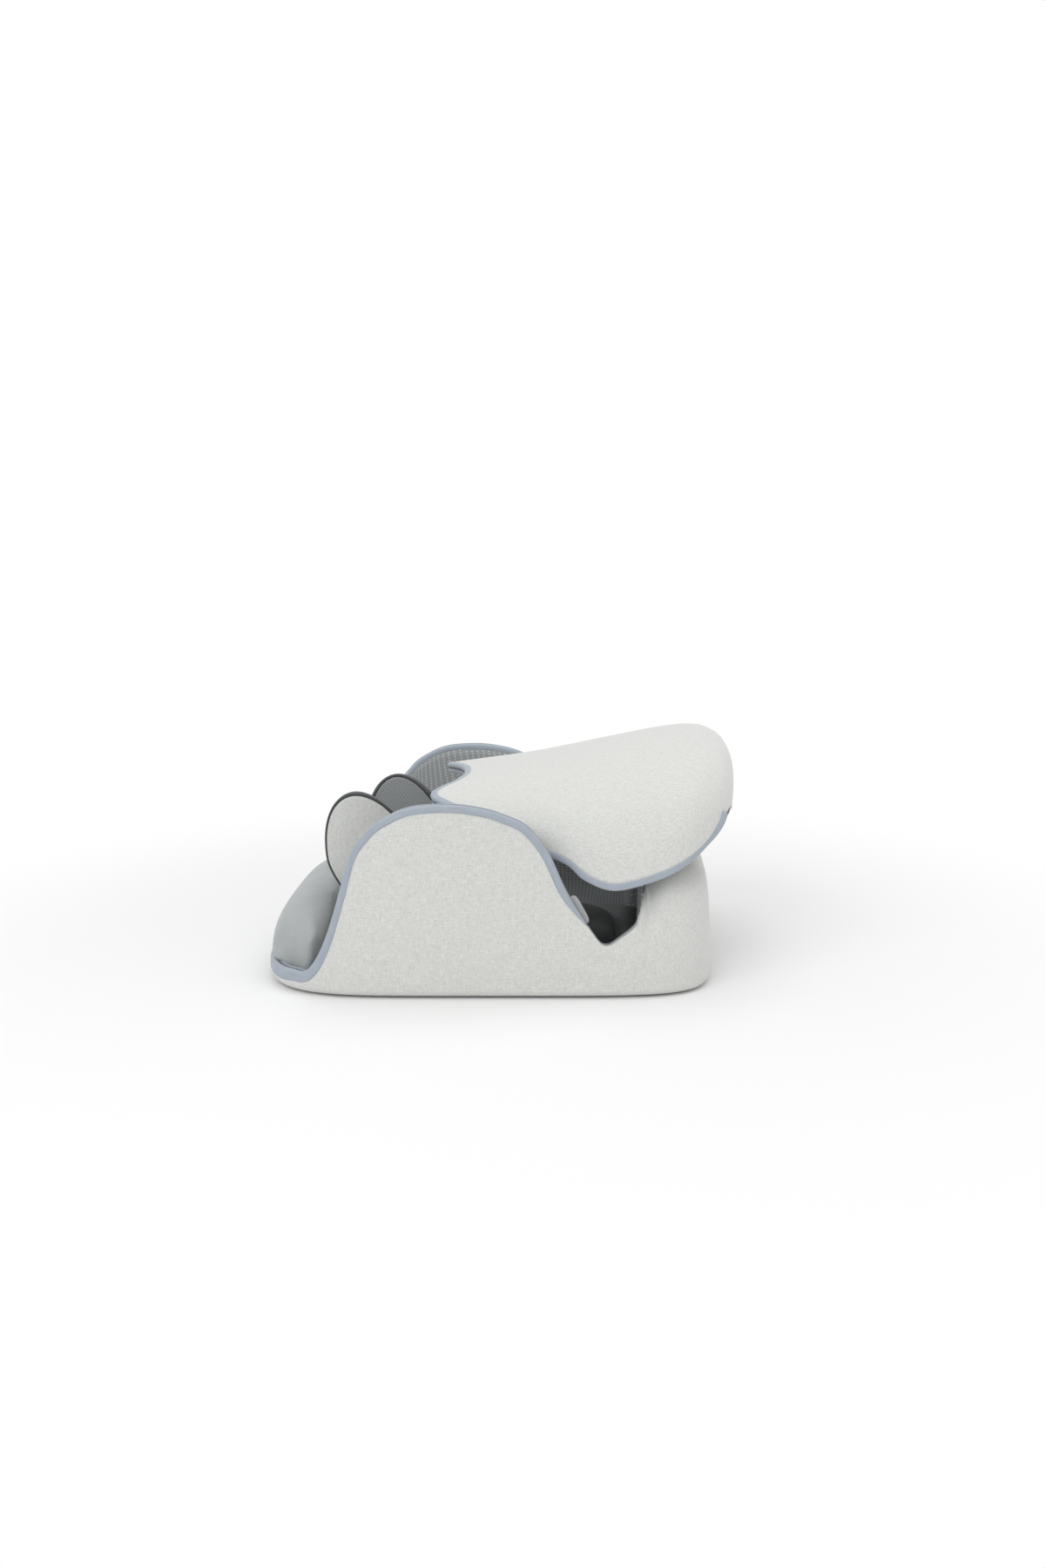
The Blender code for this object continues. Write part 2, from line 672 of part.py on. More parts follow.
def edge_shares(width):
    """Shares of p at the front and of q at the sides that span a width square to the hood's edge."""

    def square(step, edge):
        edge.normalize()
        return (step - edge * step.dot(edge)).length

    def front(q):
        step = hood_point(0.02, q) - hood_point(0, q)
        edge = hood_point(0, min(q + 0.02, 1)) - hood_point(0, max(q - 0.02, -1))
        return 0.02 * width / square(step, edge)

    def side(p):
        step = hood_point(p, 1.0) - hood_point(p, 0.97)
        edge = hood_point(min(p + 0.02, 1), 1.0) - hood_point(max(p - 0.02, 0), 1.0)
        return 0.03 * width * (1 + 0.4 * smooth(0.72, 0.95, p)) / square(step, edge)

    return front, side


def hood_sheet(name, finish, depth, wall, rows):
    """One layer of the hood, cut back from its bound edges, its outer face at a depth under the skin; a layer
    with fewer rows than the hood ends short of its rear edge."""
    front, side = edge_shares(BINDING_WIDTH + HOOD_SET_BACK)

    def point(u, v):
        along = u * rows / HOOD_ROWS
        reach = 1 - side(along)
        q = (2 * v - 1) * reach
        trimmed = front(q)
        p = trimmed + (1 - trimmed) * along
        return hood_point(p, q) - hood_normal(p, q) * depth

    return sheet(name, mapped_grid(point, rows, HOOD_COLUMNS), finish, wall)


def hood_binding():
    """Edge tape from one rear corner of the hood along the side, round the prongs and back to the other."""
    front_count, side_count = 24, 18
    route = [(1 - i / side_count, -1.0) for i in range(side_count)]
    route += [(0.0, 2 * i / front_count - 1) for i in range(front_count + 1)]
    route += [((i + 1) / side_count, 1.0) for i in range(side_count)]
    route = [(p * HOOD_BINDING_END, q) for p, q in route]
    stations = []
    for i, (p, q) in enumerate(route):
        ahead = hood_point(*route[min(i + 1, len(route) - 1)])
        behind = hood_point(*route[max(i - 1, 0)])
        along = (ahead - behind).normalized()
        normal = hood_normal(min(max(p, 0.01), 0.99), min(max(q, -0.99), 0.99))
        into = normal.cross(along).normalized()
        towards = hood_point(0.5, 0.0) - hood_point(p, q)
        if into.dot(towards) < 0:
            into = -into
        through = along.cross(into).normalized()
        middle = hood_point(p, q) + into * (BINDING_WIDTH / 2) - normal * (SANDWICH / 2)
        stations.append((middle, into, through, BINDING_WIDTH / 2, SANDWICH / 2 + BINDING_PROUD))
    return ribbon("hood_binding", stations, SLATE)


def hinge_panel():
    """Fabric panel from inside the hood's rear wall down to the crown block, turning at its lower end."""
    depth = SHELL_WALL + LINER_WALL + 2 * GAP

    def point(u, v):
        q = (2 * u - 1) * HINGE_PANEL_SHARE
        top = hood_point(0.97, q) - hood_normal(0.97, q) * (depth + HINGE_PANEL_WALL)
        foot = Vector((HINGE_X, top.y, HINGE_Z + 0.6 * MM))
        return foot + (top - foot) * v

    return sheet("hinge_panel", mapped_grid(point, 10, 3), MELANGE, HINGE_PANEL_WALL)


def hood_cell(name, p_range, q_range):
    """Air cell under the hood's lining: a thin pillow, thickest in its middle."""
    depth = SHELL_WALL + LINER_WALL + 4 * GAP

    def face(u, v, extra):
        p = p_range[0] + (p_range[1] - p_range[0]) * u
        q = q_range[0] + (q_range[1] - q_range[0]) * v
        return hood_point(p, q) - hood_normal(p, q) * (depth + extra)

    return pillow(name, face, HOOD_CELL_WALL, AIR_FILM, 10, 8)


def pillow(name, face, thickness, finish, u_cells, v_cells):
    """A closed pillow on a curved face: its back lies on the face, and its front swells away from it."""
    bm = bmesh.new()
    for is_front in (False, True):
        bmesh.ops.create_grid(bm, x_segments=u_cells, y_segments=v_cells, size=0.5)
        for vert in bm.verts:
            if vert.tag:
                continue
            u, v = vert.co.x + 0.5, vert.co.y + 0.5
            swell = max(0.0, 16 * u * (1 - u) * v * (1 - v)) ** 0.4
            vert.co = face(u, v, thickness * swell if is_front else 0.0)
            vert.tag = True
    bmesh.ops.remove_doubles(bm, verts=bm.verts, dist=0.02 * MM)
    face_outwards(bm)
    return add_object(name, mesh_from(bm, name), finish)


def wing_cell(name, side):
    """Air cell between the shell and the liner of one shoulder wing."""
    low, high = 0.155, 0.265

    def face(u, v, extra):
        station = low + (high - low) * u
        if side > 0:
            station = 1 - station
        rim = float(at(SHEET_HEIGHT, station))
        point, step, _ = wall_point(station, 0.1 + 0.34 * v, rim)
        return point + step * (SHELL_WALL + 4 * GAP + extra)

    return pillow(name, face, WING_CELL_WALL, AIR_FILM, 10, 5)


# Neck module


def wing_frame(side):
    """Shift in X and Z of one neck wing: the +Y one rests a little further back and lower."""
    return FAR_WING_SHIFT if side > 0 else (0.0, 0.0)


def wing_point(side, a, b):
    """Outer face of a neck wing at share a across (-1 front to 1 rear) and b from root to top."""
    shift_x, shift_z = wing_frame(side)
    root = Vector((WING_ROOT[0] + shift_x, 0, WING_ROOT[1]))
    top = Vector((WING_TOP[0] + shift_x, 0, WING_TOP[1] + shift_z))
    axis = top - root
    top_line = (1 - abs(a) ** WING_TIP_POWER) ** (1 / WING_TIP_POWER)
    reach = WING_SHOULDER + (1 - WING_SHOULDER) * top_line
    height = b * reach
    half = WING_HALF_WIDTH * (0.6 + 0.4 * smooth(0.05, 0.5, height))
    level = root + axis * height + Vector((a * half, 0, 0))
    y = WING_ROOT_Y + WING_LEAN_Y * height - WING_CUP * a * a * (0.3 + 0.7 * height)
    return Vector((level.x, side * y, level.z))


def wing_normal(side, a, b, step=1e-3):
    low_a, high_a = max(a - step, -0.999), min(a + step, 0.999)
    low_b, high_b = max(b - step, 0), min(b + step, 1)
    along = wing_point(side, high_a, b) - wing_point(side, low_a, b)
    up = wing_point(side, a, high_b) - wing_point(side, a, low_b)
    return (along.cross(up) * -side).normalized()


def neck_wing(name, side, finish, depth, wall):
    """One layer of a neck wing, its outer face at a depth under the wing's outside."""

    def point(u, v):
        a = (2 * u - 1) * -side * 0.985
        return wing_point(side, a, v) - wing_normal(side, a, v) * depth

    return sheet(name, mapped_grid(point, 12, 7), finish, wall)


def zip_route(side):
    """Edge of a neck wing from its front root round its top to its rear root, as shares a and b."""
    climb = [0.5 + 0.5 * i / 4 for i in range(4)]
    front = [(-1.0, b) for b in climb]
    top = [(-math.cos(math.pi * i / 14), 1.0) for i in range(15)]
    rear = [(1.0, b) for b in reversed(climb)]
    return front + top + rear


def neck_zip(name, side):
    """Zip round a neck wing's edge, just outside its two layers."""
    route = [wing_point(side, a, b) for a, b in zip_route(side)]
    depth = (NECK_WING_WALL + GAP + NECK_WING_LINER) / 2
    stations = []
    for i, (a, b) in enumerate(zip_route(side)):
        ahead, behind = route[min(i + 1, len(route) - 1)], route[max(i - 1, 0)]
        along = (ahead - behind).normalized()
        normal = wing_normal(side, a * 0.95, min(b, 0.95))
        away = along.cross(normal).normalized()
        if away.dot(route[i] - wing_point(side, 0.0, 0.55)) < 0:
            away = -away
        through = along.cross(away).normalized()
        middle = route[i] + away * (ZIP_WIDTH / 2 + GAP) - normal * depth
        stations.append((middle, away, through, ZIP_WIDTH / 2, depth + 0.3 * MM))
    return ribbon(name, stations, ZIP_TAPE)


def neck_bed():
    """Pad between the neck wings with a dished top for the neck."""
    length = BED_REAR_X - BED_FRONT_X

    def face(u, v, extra):
        x = BED_FRONT_X + length * u
        y = BED_HALF_WIDTH * (2 * v - 1)
        if extra == 0:
            return Vector((x, y, BED_Z))
        dish = BED_DISH * (1 - (2 * v - 1) ** 2)
        return Vector((x, y, BED_Z + max(0.0, extra - dish * extra / BED_HEIGHT)))

    return pillow("neck_bed", face, BED_HEIGHT, DARK_MESH, 10, 12)


def head_pad():
    """Pad on the bowl's floor under the head, dished along its middle."""

    def face(u, v, extra):
        turn_x = math.sqrt(max(0.0, 1 - 0.45 * (2 * v - 1) ** 2))
        turn_y = math.sqrt(max(0.0, 1 - 0.45 * (2 * u - 1) ** 2))
        middle = (HEAD_PAD_FRONT_X + HEAD_PAD_REAR_X) / 2
        x = middle + (HEAD_PAD_REAR_X - HEAD_PAD_FRONT_X) / 2 * (2 * u - 1) * turn_x
        y = HEAD_PAD_HALF_WIDTH * (2 * v - 1) * turn_y
        dish = 0.35 * math.exp(-(((2 * v - 1) / 0.6) ** 2) - ((2 * u - 1) / 0.6) ** 2)
        return Vector((x, y, SEAT_Z + extra * (1 - dish)))

    return pillow("head_pad", face, HEAD_PAD_HEIGHT, DARK_MESH, 14, 12)


def roll_section(u):
    """Section of the neck roll at a station of the outline, from its foot round its front to its top."""
    share = abs(u) / ROLL_END
    start, step = plan_point(u % 1.0), inward(u % 1.0)[0]
    back = (ROLL_BACK_X - start[0]) / step[0]
    under = SEAT_Z + RISER_HEIGHT + GAP
    swell = (1 - share**2.6) ** 0.5 if share < 1 else 0.0
    top = under + (ROLL_HEIGHT - under) * (0.32 + 0.68 * swell)
    behind = smooth(0.42, 0.62, share)
    edge = (SANDWICH + BINDING_PROUD + 2 * MM) * behind
    front = edge - ROLL_OVERHANG
    low = under + ROLL_CORNER
    profile = [(back, under), (back * 0.5, under)]
    profile += [(edge + 1.5 * ROLL_CORNER, under), (edge + 0.5 * ROLL_CORNER, under + 0.25 * ROLL_CORNER)]
    for i in range(8):
        turn = i / 7 * math.pi / 2
        reach = (0.86 * back - front) * (1 - math.cos(turn))
        profile.append((front + reach, low + (top - low) * math.sin(turn)))
    profile.append((back, top - 0.75 * ROLL_CORNER))
    profile.append((back, (top + under) / 2))
    return [Vector((*(start + step * t), z)) for t, z in profile]


def neck_roll():
    """Cushion across the shoulder lip: a round-fronted section carried along the lip, lower at its ends."""
    count = 22
    sections = [roll_section(ROLL_END * (2 * i / count - 1) * 0.999) for i in range(count + 1)]
    sides = len(sections[0])

    def point(u, v):
        return sections[round(u * count)][round(v * sides) % sides]

    bm = mapped_grid(point, count, sides)
    bmesh.ops.holes_fill(bm, edges=[e for e in bm.edges if e.is_boundary], sides=0)
    face_outwards(bm)
    return add_object("neck_roll", mesh_from(bm, "neck_roll"), GREY_MESH)


def roll_riser():
    """Foam block on the bowl's floor that the neck roll lies on."""
    low = (ROLL_BACK_X - RISER_LENGTH, -RISER_HALF_WIDTH, SEAT_Z)
    high = (ROLL_BACK_X, RISER_HALF_WIDTH, SEAT_Z + RISER_HEIGHT)
    return box("roll_riser", low, high, FOAM, bevel=3 * MM)


def traction_cell():
    """Flat air cell under the neck bed that lifts it."""
    half = BED_HALF_WIDTH - TRACTION_CELL_INSET
    low = (BED_FRONT_X + TRACTION_CELL_INSET, -half, SEAT_Z)
    high = (BED_REAR_X - TRACTION_CELL_INSET, half, SEAT_Z + TRACTION_CELL_HEIGHT)
    return box("traction_cell", low, high, AIR_FILM, bevel=3 * MM)


# Air system


def tray_floor():
    return SHELL_FLOOR_TOP + GAP


def equipment_tray():
    half_x, half_y, low = TRAY_DEPTH / 2, TRAY_LENGTH / 2, tray_floor()
    tray = box(
        "equipment_tray",
        (BAY_X - half_x, -half_y, low),
        (BAY_X + half_x, half_y, low + TRAY_HEIGHT),
        BLACK_PLASTIC,
        0,
    )
    inner = box(
        "tray_inside",
        (BAY_X - half_x + TRAY_WALL, -half_y + TRAY_WALL, low + TRAY_WALL),
        (BAY_X + half_x - TRAY_WALL, half_y - TRAY_WALL, low + 2 * TRAY_HEIGHT),
        BLACK_PLASTIC,
        0,
        CUTTERS,
    )
    cut(tray, inner)


def air_pump():
    floor = tray_floor() + TRAY_WALL + GAP
    middle_y = -TRAY_LENGTH / 2 + TRAY_WALL + 2 * MM + PUMP_LENGTH / 2
    centre = (BAY_X, middle_y, floor + PUMP_DIAMETER / 2)
    cylinder("air_pump", centre, PUMP_DIAMETER / 2, PUMP_LENGTH, "Y", METAL)
    near = middle_y + PUMP_LENGTH / 2 + GAP
    half = PUMP_DIAMETER / 2
    box(
        "pump_head",
        (BAY_X - half, near, floor),
        (BAY_X + half, near + PUMP_HEAD_LENGTH, floor + PUMP_DIAMETER),
        BLACK_PLASTIC,
    )
    return near + PUMP_HEAD_LENGTH


def air_valves(start_y):
    floor = tray_floor() + TRAY_WALL + GAP
    places = []
    for i in range(3):
        y = start_y + 4 * MM + VALVE_DIAMETER / 2 + VALVE_PITCH * i
        centre = (BAY_X, y, floor + VALVE_LENGTH / 2)
        cylinder(f"air_valve_{i + 1}", centre, VALVE_DIAMETER / 2, VALVE_LENGTH, "Z", GREY_PLASTIC, 16)
        places.append((y, floor + VALVE_LENGTH))
    return places


def battery_pack():
    floor = tray_floor() + TRAY_WALL + GAP
    end = TRAY_LENGTH / 2 - TRAY_WALL - 1 * MM
    half = BATTERY_SIZE[0] / 2
    low = (BAY_X - half, end - BATTERY_SIZE[1], floor)
    box("battery_pack", low, (BAY_X + half, end, floor + BATTERY_SIZE[2]), BLACK_PLASTIC, 2 * MM)


def control_panel(shell):
    """Insert in the crown block's rear wall with a button and a charging socket, and the board behind."""
    face = BASE_REAR_X + 0.3 * MM
    half_y, half_z = PANEL_LENGTH / 2, PANEL_HEIGHT / 2
    window = box(
        "panel_window",
        (face - 30 * MM, -half_y - GAP, PANEL_Z - half_z - GAP),
        (face + 30 * MM, half_y + GAP, PANEL_Z + half_z + GAP),
        BLACK_PLASTIC,
        0,
        CUTTERS,
    )
    cut(shell, window)
    panel = box(
        "control_panel",
        (face - PANEL_DEPTH, -half_y, PANEL_Z - half_z),
        (face, half_y, PANEL_Z + half_z),
        GREY_PLASTIC,
        0.6 * MM,
    )
    hole = cylinder(
        "button_hole",
        (face, -BUTTON_OFFSET, PANEL_Z),
        BUTTON_DIAMETER / 2 + GAP,
        40 * MM,
        "X",
        GREY_PLASTIC,
        where=CUTTERS,
    )
    cut(panel, hole)
    slot = box(
        "port_slot",
        (face - 20 * MM, BUTTON_OFFSET - PORT_LENGTH / 2 - GAP, PANEL_Z - PORT_HEIGHT / 2 - GAP),
        (face + 20 * MM, BUTTON_OFFSET + PORT_LENGTH / 2 + GAP, PANEL_Z + PORT_HEIGHT / 2 + GAP),
        GREY_PLASTIC,
        0,
        CUTTERS,
    )
    cut(panel, slot)
    cylinder(
        "power_button",
        (face + BUTTON_PROUD - BUTTON_LENGTH / 2, -BUTTON_OFFSET, PANEL_Z),
        BUTTON_DIAMETER / 2,
        BUTTON_LENGTH,
        "X",
        SLATE,
    )
    box(
        "charge_socket",
        (face - 7 * MM, BUTTON_OFFSET - PORT_LENGTH / 2, PANEL_Z - PORT_HEIGHT / 2),
        (face - 1.5 * MM, BUTTON_OFFSET + PORT_LENGTH / 2, PANEL_Z + PORT_HEIGHT / 2),
        METAL,
        0.8 * MM,
    )
    half = BOARD_SIZE[1] / 2
    box(
        "control_board",
        (BOARD_X, -half, PANEL_Z - BOARD_SIZE[2] / 2),
        (BOARD_X + BOARD_SIZE[0], half, PANEL_Z + BOARD_SIZE[2] / 2),
        BOARD,
        0,
    )


def hoses(valves):
    """Hoses from the outer valves, over the tray's ends and along the shell's foot, to the wing cells."""
    top = valves[0][1] + HOSE_DIAMETER / 2 + 0.5 * MM
    channel_y = BASE_HALF_WIDTH - HOSE_INSET
    channel_z = BOWL_FLOOR_Z + HOSE_DIAMETER / 2 + 1.3 * MM
    for name, side, y in (("left_wing_hose", 1, valves[2][0]), ("right_wing_hose", -1, valves[0][0])):
        route = [
            (BAY_X, y, top),
            (BAY_X, y + side * 2 * MM, top + HOSE_RISE),
            (BAY_X, side * (TRAY_LENGTH / 2 - 12 * MM), top + 1.2 * HOSE_RISE),
            (BAY_X - 3 * MM, side * (channel_y - 29 * MM), channel_z + 1.4 * HOSE_RISE),
            (BAY_X - 14 * MM, side * (channel_y - 9 * MM), channel_z + 4 * MM),
            (NOTCH_X + 19 * MM, side * (channel_y - 1 * MM), channel_z),
            (NOTCH_X - 17 * MM, side * channel_y, channel_z),
            (NOTCH_X - 35 * MM, side * channel_y, channel_z),
        ]
        tube(name, route, HOSE_DIAMETER, HOSE)


def pull_tab():
    """Small folded tab sewn inside the -Y shoulder wing's rear edge."""
    foot = Vector((NOTCH_X - 27 * MM, -BASE_HALF_WIDTH + SANDWICH + 3 * MM, NOTCH_HEIGHT + 32 * MM))
    tip = foot + Vector((13 * MM, 1 * MM, -21 * MM))
    along = (tip - foot).normalized()
    across = Vector((0, 1, 0)).cross(along).normalized()
    through = along.cross(across)
    stations = []
    for i in range(5):
        stations.append((foot + (tip - foot) * (i / 4), across, through, TAB_WIDTH / 2, TAB_WALL / 2))
    return ribbon("pull_tab", stations, GREY_PLASTIC)


def settle():
    """Puts each moving piece's origin on its joint and the frame's origin under the middle of the whole."""
    middle = Vector(((BASE_FRONT_X - ROLL_OVERHANG + HOOD_REAR_X) / 2, 0, 0))
    hood_axis = Vector((HINGE_X, 0, HINGE_Z))
    bed_seat = Vector(((BED_FRONT_X + BED_REAR_X) / 2, 0, SEAT_Z))
    pivots = {
        "power_button": Vector((BASE_REAR_X, -BUTTON_OFFSET, PANEL_Z)),
        "neck_bed": bed_seat,
        "traction_cell": bed_seat,
    }
    for name in ("hood_shell", "hood_liner", "hood_binding", "hinge_panel", "brow_cell"):
        pivots[name] = hood_axis
    for word, side in (("right", -1), ("left", 1)):
        pivots[f"{word}_temple_cell"] = hood_axis
        root = Vector((WING_ROOT[0] + wing_frame(side)[0], side * WING_ROOT_Y, WING_ROOT[1]))
        for piece in ("neck_wing", "neck_lining", "neck_zip"):
            pivots[f"{word}_{piece}"] = root
    for made in [*PARTS.objects, *CUTTERS.objects]:
        pivot = pivots.get(made.name, Vector())
        made.data.transform(Matrix.Translation(-pivot))
        made.location = pivot - middle


def build():
    shell = base_shell()
    base_liner()
    base_binding()
    grip_sheet()
    hood_sheet("hood_shell", MELANGE, 0.0, SHELL_WALL, HOOD_ROWS)
    hood_sheet("hood_liner", DARK_MESH, SHELL_WALL + GAP, LINER_WALL, HOOD_ROWS - 1)
    hood_binding()
    hinge_panel()
    hood_cell("right_temple_cell", (0.12, 0.46), (-0.76, -0.34))
    hood_cell("left_temple_cell", (0.12, 0.46), (0.34, 0.76))
    hood_cell("brow_cell", (0.14, 0.34), (-0.24, 0.24))
    wing_cell("right_wing_cell", -1)
    wing_cell("left_wing_cell", 1)
    for word, side in (("right", -1), ("left", 1)):
        neck_wing(f"{word}_neck_wing", side, MELANGE, 0.0, NECK_WING_WALL)
        neck_wing(f"{word}_neck_lining", side, DARK_MESH, NECK_WING_WALL + GAP, NECK_WING_LINER)
        neck_zip(f"{word}_neck_zip", side)
    neck_bed()
    head_pad()
    neck_roll()
    roll_riser()
    traction_cell()
    equipment_tray()
    valves = air_valves(air_pump())
    battery_pack()
    control_panel(shell)
    hoses(valves)
    pull_tab()
    settle()


build()
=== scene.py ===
# %% [markdown]
# # A head-and-neck traction cradle
# The object is a soft tray for lying on: two shoulder wings, a hood folded over the top, two zipped
# neck wings and a grey roll at the shoulder end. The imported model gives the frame: every hard piece
# and every soft solid at its place. This lesson lays fine cloth surfaces where the soft solids are.

# %% Load the frame
import math

import bmesh
import bpy
import numpy as np
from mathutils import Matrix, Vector


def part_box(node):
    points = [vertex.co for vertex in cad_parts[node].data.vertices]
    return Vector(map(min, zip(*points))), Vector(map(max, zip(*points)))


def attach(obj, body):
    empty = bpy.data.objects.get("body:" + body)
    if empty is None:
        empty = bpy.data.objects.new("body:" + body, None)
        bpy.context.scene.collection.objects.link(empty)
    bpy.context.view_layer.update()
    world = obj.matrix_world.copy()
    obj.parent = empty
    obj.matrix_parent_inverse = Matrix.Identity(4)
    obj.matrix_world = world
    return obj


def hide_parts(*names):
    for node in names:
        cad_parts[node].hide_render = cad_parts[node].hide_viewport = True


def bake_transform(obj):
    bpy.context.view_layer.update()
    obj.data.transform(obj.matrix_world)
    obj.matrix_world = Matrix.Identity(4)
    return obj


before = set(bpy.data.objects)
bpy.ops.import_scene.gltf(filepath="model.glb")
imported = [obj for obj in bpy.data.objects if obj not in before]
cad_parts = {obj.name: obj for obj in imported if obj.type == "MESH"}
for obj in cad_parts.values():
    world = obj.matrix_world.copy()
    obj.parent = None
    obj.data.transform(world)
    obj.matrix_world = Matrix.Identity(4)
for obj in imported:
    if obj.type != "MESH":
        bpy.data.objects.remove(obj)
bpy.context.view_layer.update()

# %% [markdown]
# ## Sizes
# The tray's rim, the hood and the neck wings follow a few driving sizes, as the solids do. The ear notch,
# the lip's tape, the roll's front and the pull tab are fitted a little closer here. All are in metres.
# The frame's origin is under the middle of the folded object, so one shift along X, read from the packed
# shell, carries every formula to its place.

# %% Driving sizes
MM = 0.001
BASE_FRONT_X, BASE_REAR_X, PLAN_CENTRE_X = -174 * MM, 160 * MM, -29 * MM
BASE_HALF_WIDTH, FRONT_POWER, REAR_POWER = 131 * MM, 4.0, 6.5
LIP_HEIGHT, CREST_HEIGHT, NOTCH_HEIGHT, BLOCK_HEIGHT = 16 * MM, 140 * MM, 38 * MM, 89 * MM
WING_START_X, WING_MID_X, CREST_X = -148 * MM, -111 * MM, -36 * MM
NOTCH_X, BLOCK_X = 79 * MM, 120 * MM
BLEND_START_X, BLEND_END_X, BLEND_CLEARANCE = 104 * MM, 133 * MM, 0.8 * MM
WING_FLARE, BLOCK_LEAN, LEAN_START = 6 * MM, 5 * MM, 55 * MM
SIDE_LEAN, SIDE_LEAN_START = 12 * MM, 30 * MM
SHOULDER_RADIUS, SHELF_DEPTH, BOTTOM_RADIUS = 21 * MM, 44 * MM, 5 * MM
SHOULDER_START, SHELF_START = 0.5, 0.8
GAP, GRIP_SHEET, SHELL_WALL, LINER_WALL = 0.4 * MM, 1 * MM, 4.4 * MM, 2.5 * MM
BINDING_WIDTH, BINDING_PROUD, LIP_TAPE = 6 * MM, 0.6 * MM, 0.75
EDGE_TUCK = -1.2 * MM
BOWL_FRONT_INSET, BOWL_SIDE_INSET, BOWL_REAR_INSET = 24 * MM, 43 * MM, 51 * MM
CORNER_TURN = 110 * MM
FLOOR_Z = GRIP_SHEET + GAP
BOWL_FLOOR_Z = FLOOR_Z + SHELL_WALL + GAP
SEAT_Z = BOWL_FLOOR_Z + LINER_WALL + GAP
SANDWICH = SHELL_WALL + GAP + LINER_WALL
SHIFT = np.array([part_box("base_shell")[0][0] - BASE_FRONT_X, 0.0, 0.0])
print("shift to the frame:", np.round(SHIFT, 4))

# %% [markdown]
# ## Grids, seams and pieces
# Each surface is an array of points, rows by columns. One quad fills each cell, and the UV map is the
# cloth's own length in metres along rows and columns, so a weave keeps its real size. Poles and seams
# are merged afterwards, and a closed form has its faces turned outwards.


# %% Mesh helpers
def smooth(low, high, value):
    """Smooth step from 0 at low to 1 at high: 3 t squared less 2 t cubed."""
    t = np.clip((value - low) / (high - low), 0.0, 1.0)
    return t * t * (3 - 2 * t)


def unit(vectors):
    return vectors / np.maximum(np.linalg.norm(vectors, axis=-1, keepdims=True), 1e-12)


def rounded(value, power):
    """A sine or cosine raised to a power with its sign kept, which squares off a circle."""
    return np.sign(value) * np.abs(value) ** power


def rounded_rectangle(angle, power):
    """Radius of a superellipse of unit size at an angle."""
    return 1 / (np.abs(np.cos(angle)) ** power + np.abs(np.sin(angle)) ** power) ** (1 / power)


def close_ends(rows):
    """Adds a row at each end, with all its points at the middle of that end."""
    ends = [np.repeat(row.mean(axis=0)[None, None], rows.shape[1], axis=1) for row in (rows[0], rows[-1])]
    return np.concatenate([ends[0], rows, ends[1]])


def cloth_lengths(points):
    """UV in metres: length along each row from its middle, and length up each column from its start."""
    across = np.cumsum(np.linalg.norm(np.diff(points, axis=1), axis=2), axis=1)
    across = np.pad(across, ((0, 0), (1, 0)))
    across -= across[:, [points.shape[1] // 2]]
    up = np.cumsum(np.linalg.norm(np.diff(points, axis=0), axis=2), axis=0)
    return np.stack([across, np.pad(up, ((1, 0), (0, 0)))], axis=-1)


def seal(mesh, inside):
    """Merges seams and poles. A closed form's faces turn outwards, and a sheet's turn away from a point."""
    bm = bmesh.new()
    bm.from_mesh(mesh)
    bmesh.ops.remove_doubles(bm, verts=bm.verts, dist=0.01 * MM)
    if inside is None:
        bmesh.ops.recalc_face_normals(bm, faces=bm.faces)
        turned = bm.calc_volume(signed=True) < 0
    else:
        bm.normal_update()
        middle = Vector(inside)
        outward = (f.calc_area() * f.normal.dot(f.calc_center_median() - middle) for f in bm.faces)
        turned = sum(outward) < 0
    if turned:
        bmesh.ops.reverse_faces(bm, faces=bm.faces)
    bm.to_mesh(mesh)
    bm.free()


def lay_grid(name, points, inside=None, marks=None):
    """An object whose mesh has one quad for each cell of the grid. A sheet has a point that it lies round,
    inside, and a closed form has none; marks is a value for each point."""
    rows, columns = points.shape[:2]
    index = np.arange(rows * columns).reshape(rows, columns)
    corners = (index[:-1, :-1], index[:-1, 1:], index[1:, 1:], index[1:, :-1])
    quads = np.stack(corners, axis=-1).reshape(-1, 4)
    mesh = bpy.data.meshes.new(name)
    mesh.from_pydata((points + SHIFT).reshape(-1, 3), [], quads)
    layer = mesh.uv_layers.new(name="cloth")
    layer.data.foreach_set("uv", cloth_lengths(points).reshape(-1, 2)[quads.reshape(-1)].reshape(-1))
    if marks is not None:
        attribute = mesh.attributes.new("marks", "FLOAT", "POINT")
        attribute.data.foreach_set("value", np.ascontiguousarray(marks, np.float32).reshape(-1))
    seal(mesh, inside)
    mesh.shade_smooth()
    made = bpy.data.objects.new(name, mesh)
    bpy.context.scene.collection.objects.link(made)
    return made


def thicken(piece, wall):
    """Gives an open sheet its thickness, on the side away from its face normals."""
    solidify = piece.modifiers.new("thickness", "SOLIDIFY")
    solidify.thickness = wall
    solidify.offset = -1.0
    return piece


def dress(piece, finish, body, nodes=()):
    """Puts a finish on a piece, rides it on its body and hides the solids that it stands for."""
    piece.data.materials.clear()
    piece.data.materials.append(finish)
    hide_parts(*nodes)
    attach(piece, body)
    print(f"{piece.name}: {len(piece.data.polygons)} faces on {body}")
    return piece


# %% [markdown]
# ## Finishes
# Every finish is a small node tree. Threads, dots and ribs are drawn in the cloth's UV lengths, so they
# follow the surface; moulded pieces use Object coordinates. Numbers that are the same all over sit on
# the shader's own sockets.


